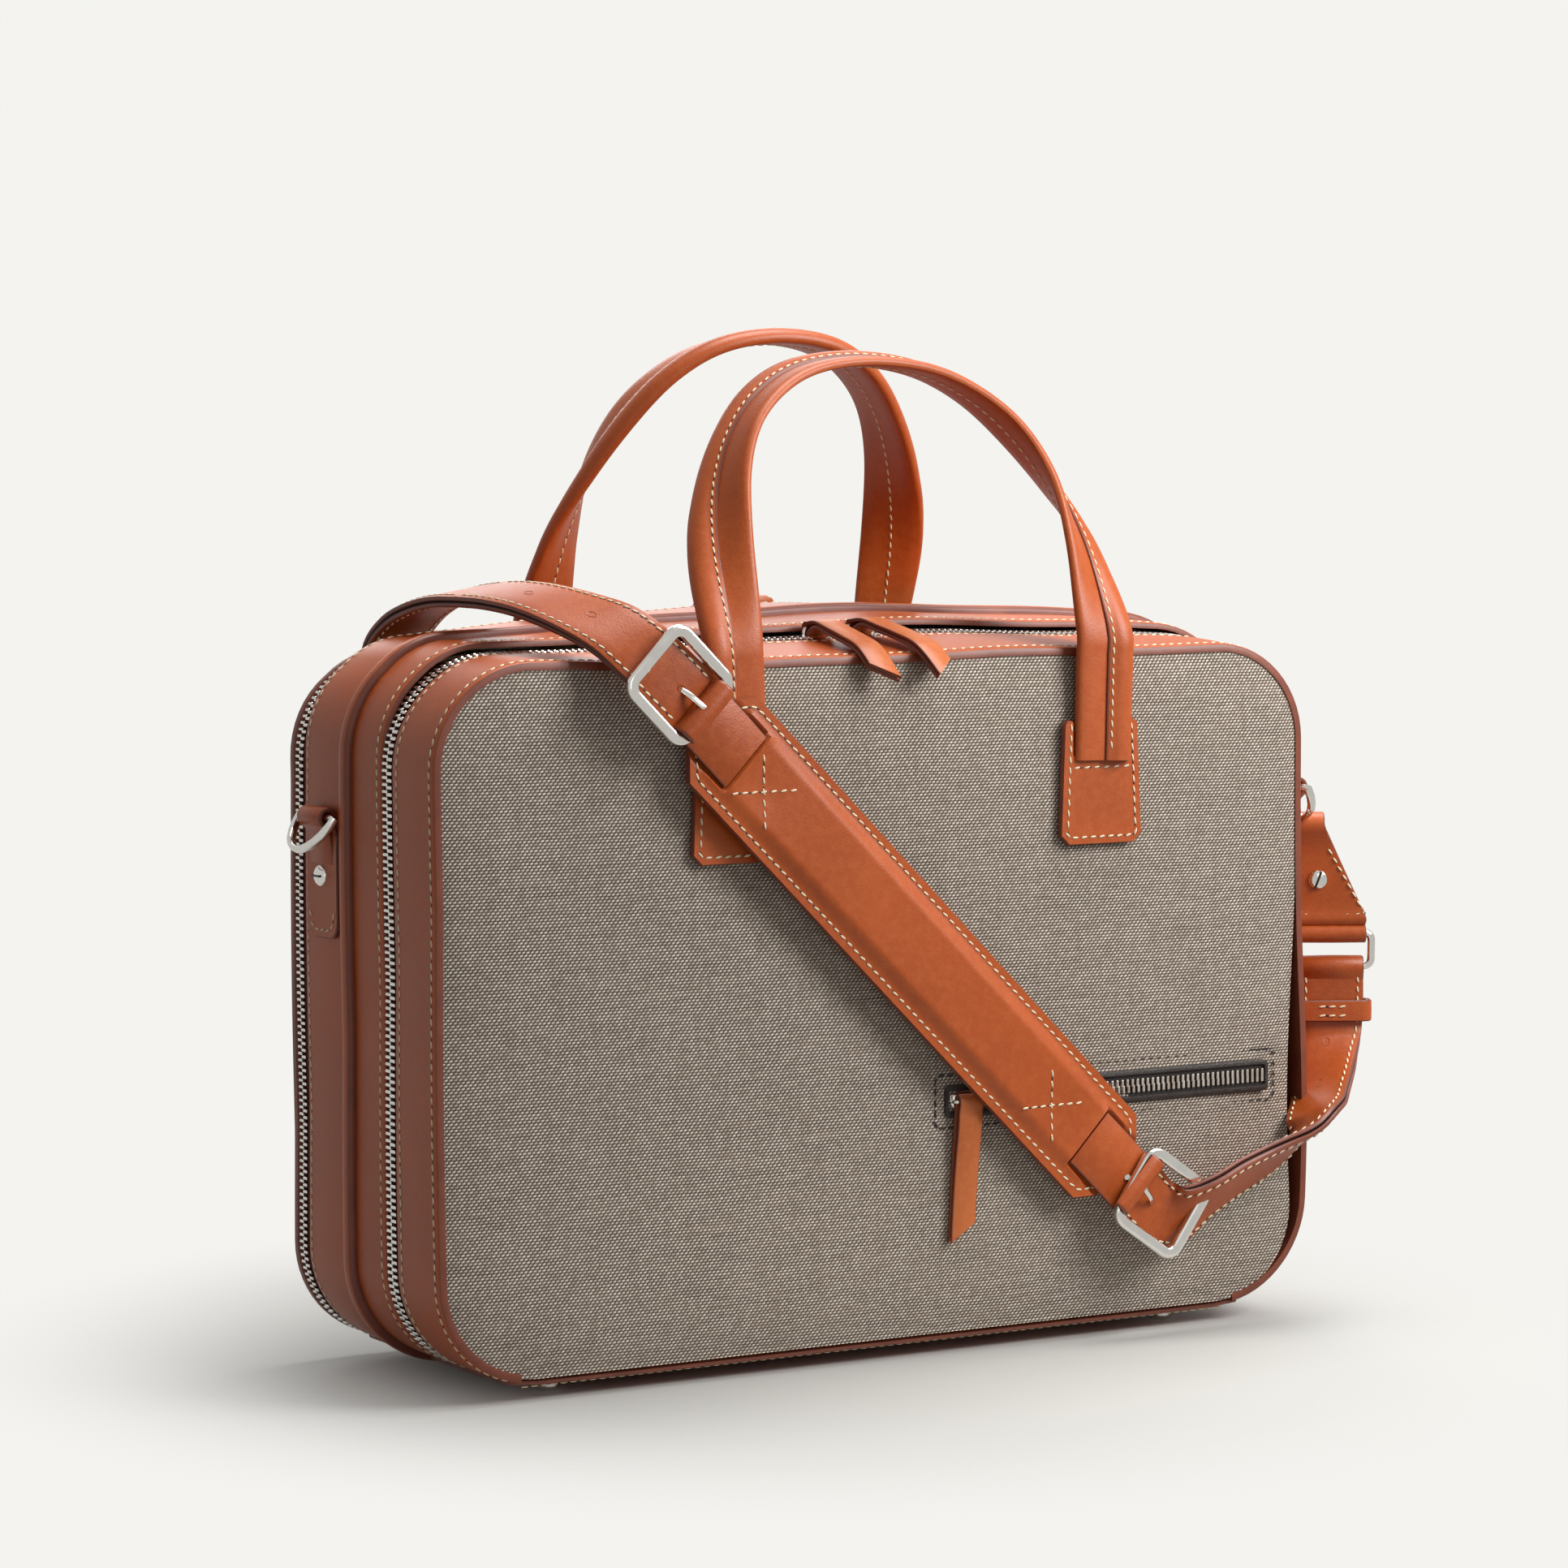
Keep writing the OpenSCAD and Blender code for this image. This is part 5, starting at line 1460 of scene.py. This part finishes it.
def base_piece():
    """Base leather with eased edges, sewn along both long sides."""
    loop = [(-62.6, 8.4), (-63.4, 7.8), (-63.4, 6.6), (-62.4, 6.0), (-40, 5.8), (40, 5.8), (62.4, 6.0), (63.4, 6.6),
            (63.4, 7.8), (62.6, 8.4)]
    rings = [[Vector((x, y, z + 1.4 * smooth_step((abs(x) - 160) / 20))) for y, z in loop]
             for x in (-178, -172, -166, -120, -60, 0, 60, 120, 166, 172, 178)]
    verts, faces, which = loft(rings, [1, 1, 1, 0, 0, 0, 1, 1, 1, 0], caps=1)
    piece("base_leather", verts, faces, "bag_core", [COGNAC, EDGE], which, ["base_strip"])
    for y in (-61, 61):
        sew("bag_core", [(Vector((x, y, 5.8)), Vector((0, 0, -1))) for x in range(-170, 171, 10)])


base_piece()


def lining(node, body):
    """Loose cotton lining: the stiff cut shape broken into small faces that wander a little, layers together."""
    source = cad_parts[node]
    mesh = source.data.copy()
    mesh.transform(source.matrix_world)
    cloth = bmesh.new()
    cloth.from_mesh(mesh)
    bmesh.ops.remove_doubles(cloth, verts=cloth.verts, dist=1e-6)
    for _ in range(4):
        long_edges = [e for e in cloth.edges if e.calc_length() > 14 * MM]
        if not long_edges:
            break
        bmesh.ops.subdivide_edges(cloth, edges=long_edges, cuts=1)
        bmesh.ops.triangulate(cloth, faces=[f for f in cloth.faces if len(f.verts) > 4])
    for v in cloth.verts:
        v.co += noise.noise_vector(v.co / (24 * MM)) * 0.5 * MM
    bmesh.ops.recalc_face_normals(cloth, faces=cloth.faces)
    cloth.to_mesh(mesh)
    cloth.free()
    mesh.materials.clear()
    mesh.materials.append(COTTON)
    mesh.shade_smooth()
    mesh.set_sharp_from_angle(angle=math.radians(40))
    obj = bpy.data.objects.new(node + "_cloth", mesh)
    bpy.context.scene.collection.objects.link(obj)
    settle(obj, body, [node])


course = around(0.0, -3.0, CORE_TOP, 163)
gusset = sum((q - p).length for (p, _), (q, _) in zip(course, course[1:]))
lining("core_lining", "bag_core")
lining("front_lining", "front_cover")
lining("rear_lining", "rear_cover")
lining("pocket_bag", "front_cover")

# CAD nodes that stay as they are, in their real finishes
for node, finish in (("base_feet", NICKEL), ("base_board", BOARD), ("divider_board", COTTON)):
    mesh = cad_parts[node].data
    mesh.materials.clear()
    mesh.materials.append(finish)


# ---------------------------------------------------------------- sewing

STITCH = oval_mesh("stitch", 3.3, 0.95, 0.75)
# Needle holes are small flat near-black ovals between the stitches: painted shade.
NEEDLE_HOLE = oval_mesh("needle_hole", 1.5, 0.8, 0.22, 8, 4)
for (body, thread), lines in sorted(sewing.items(), key=lambda item: str(item[0])):
    label = body if isinstance(body, str) else body[0] + "_to_" + body[1]
    finish = LINEN if thread == "cream" else DARK_LINEN
    repeat(f"{label}_{thread}_stitches", lines, STITCH, 4.4, finish, body, slant=math.radians(9),
           jitter=math.radians(3))
    repeat(f"{label}_{thread}_needle_holes", lines, NEEDLE_HOLE, 4.4, HOLE_PAINTED_SHADE, body, start=2.2)
for shape in (STITCH, NEEDLE_HOLE, TOOTH, SMALL_TOOTH, POCKET_TOOTH):
    bpy.data.objects.remove(shape)


# ---------------------------------------------------------------- studio

def studio():
    """Pale floor, soft key from the front right, weak fill, and a camera on the bag's front left corner."""
    scene = bpy.context.scene
    mesh = bpy.data.meshes.new("studio_floor")
    r = 14.0
    mesh.from_pydata([(-r, -r, 0), (r, -r, 0), (r, r, 0), (-r, r, 0)], [], [(0, 1, 2, 3)])
    floor = bpy.data.objects.new("studio_floor", mesh)
    scene.collection.objects.link(floor)
    mat, tree, shader, place = finish_of("matt_paper_floor")
    mottled = add(tree, "ShaderNodeTexNoise", {"Vector": place, "Scale": 3.0}).outputs[0]
    tree.links.new(blend_colours(tree, mottled, linear("#B0AFAB"), linear("#B7B6B2")), shader.inputs["Base Color"])
    shader.inputs["Roughness"].default_value = 0.9
    # The paper runs up into the backdrop, so it melts away from 12 to 40 cm off the middle
    away = add(tree, "ShaderNodeVectorMath", {0: place}, operation="LENGTH").outputs["Value"]
    gone = add(tree, "ShaderNodeMapRange", {"Value": away, 1: 0.12, 2: 0.4}, interpolation_type="SMOOTHERSTEP")
    clear = add(tree, "ShaderNodeBsdfTransparent")
    both = add(tree, "ShaderNodeMixShader", {0: gone.outputs[0], 1: shader.outputs[0], 2: clear.outputs[0]})
    tree.links.new(both.outputs[0], tree.nodes["Material Output"].inputs["Surface"])
    mesh.materials.append(mat)

    world = bpy.data.worlds.new("studio")
    scene.world = world
    world.use_nodes = True
    tree = world.node_tree
    back = tree.nodes["Background"]
    back.inputs["Color"].default_value = linear("#FFFDFA")
    seen = add(tree, "ShaderNodeBackground", {"Color": linear("#F4F3EF"), "Strength": 1.0})
    path = add(tree, "ShaderNodeLightPath")
    # Polished metal mirrors a brighter tent than the one that lights the leather
    tent = add(tree, "ShaderNodeMath", {0: path.outputs["Is Glossy Ray"], 1: 0.38, 2: 0.23}, operation="MULTIPLY_ADD")
    tree.links.new(tent.outputs[0], back.inputs["Strength"])
    mix = add(tree, "ShaderNodeMixShader", {0: path.outputs["Is Camera Ray"], 1: back.outputs[0], 2: seen.outputs[0]})
    tree.links.new(mix.outputs[0], tree.nodes["World Output"].inputs["Surface"])

    for name, at, target, size, power in (
            ("key", (0.56, -0.7, 0.74), (0.08, 0, 0.22), 0.5, 11.0),
            ("overhead", (0.4, 0.0, 1.8), (0.05, 0, 0.2), 1.0, 30),
            ("fill", (-0.5, -2.6, 0.6), (0, 0, 0.2), 1.2, 4.0),
            ("behind", (0.9, 2.2, 1.3), (0, 0, 0.2), 1.2, 12)):
        data = bpy.data.lights.new(name, "AREA")
        data.shape = "SQUARE"
        data.size = size
        data.energy = power
        lamp = bpy.data.objects.new(name, data)
        lamp.location = at
        lamp.rotation_euler = (Vector(target) - Vector(at)).to_track_quat("-Z", "Y").to_euler()
        scene.collection.objects.link(lamp)

    data = bpy.data.cameras.new("camera")
    data.sensor_width = 36.0
    data.lens = 113.31
    data.clip_end = 60
    camera = bpy.data.objects.new("camera", data)
    camera.location = (-1.0783, -1.7869, 0.3834)
    yaw, pitch, roll = math.radians(-30.831), math.radians(-4.021), math.radians(-0.264)
    camera.rotation_euler = (Matrix.Rotation(yaw, 3, "Z") @ Matrix.Rotation(math.pi / 2 + pitch, 3, "X")
                             @ Matrix.Rotation(roll, 3, "Z")).to_euler()
    scene.collection.objects.link(camera)
    scene.camera = camera
    scene.view_settings.view_transform = "Standard"


studio()
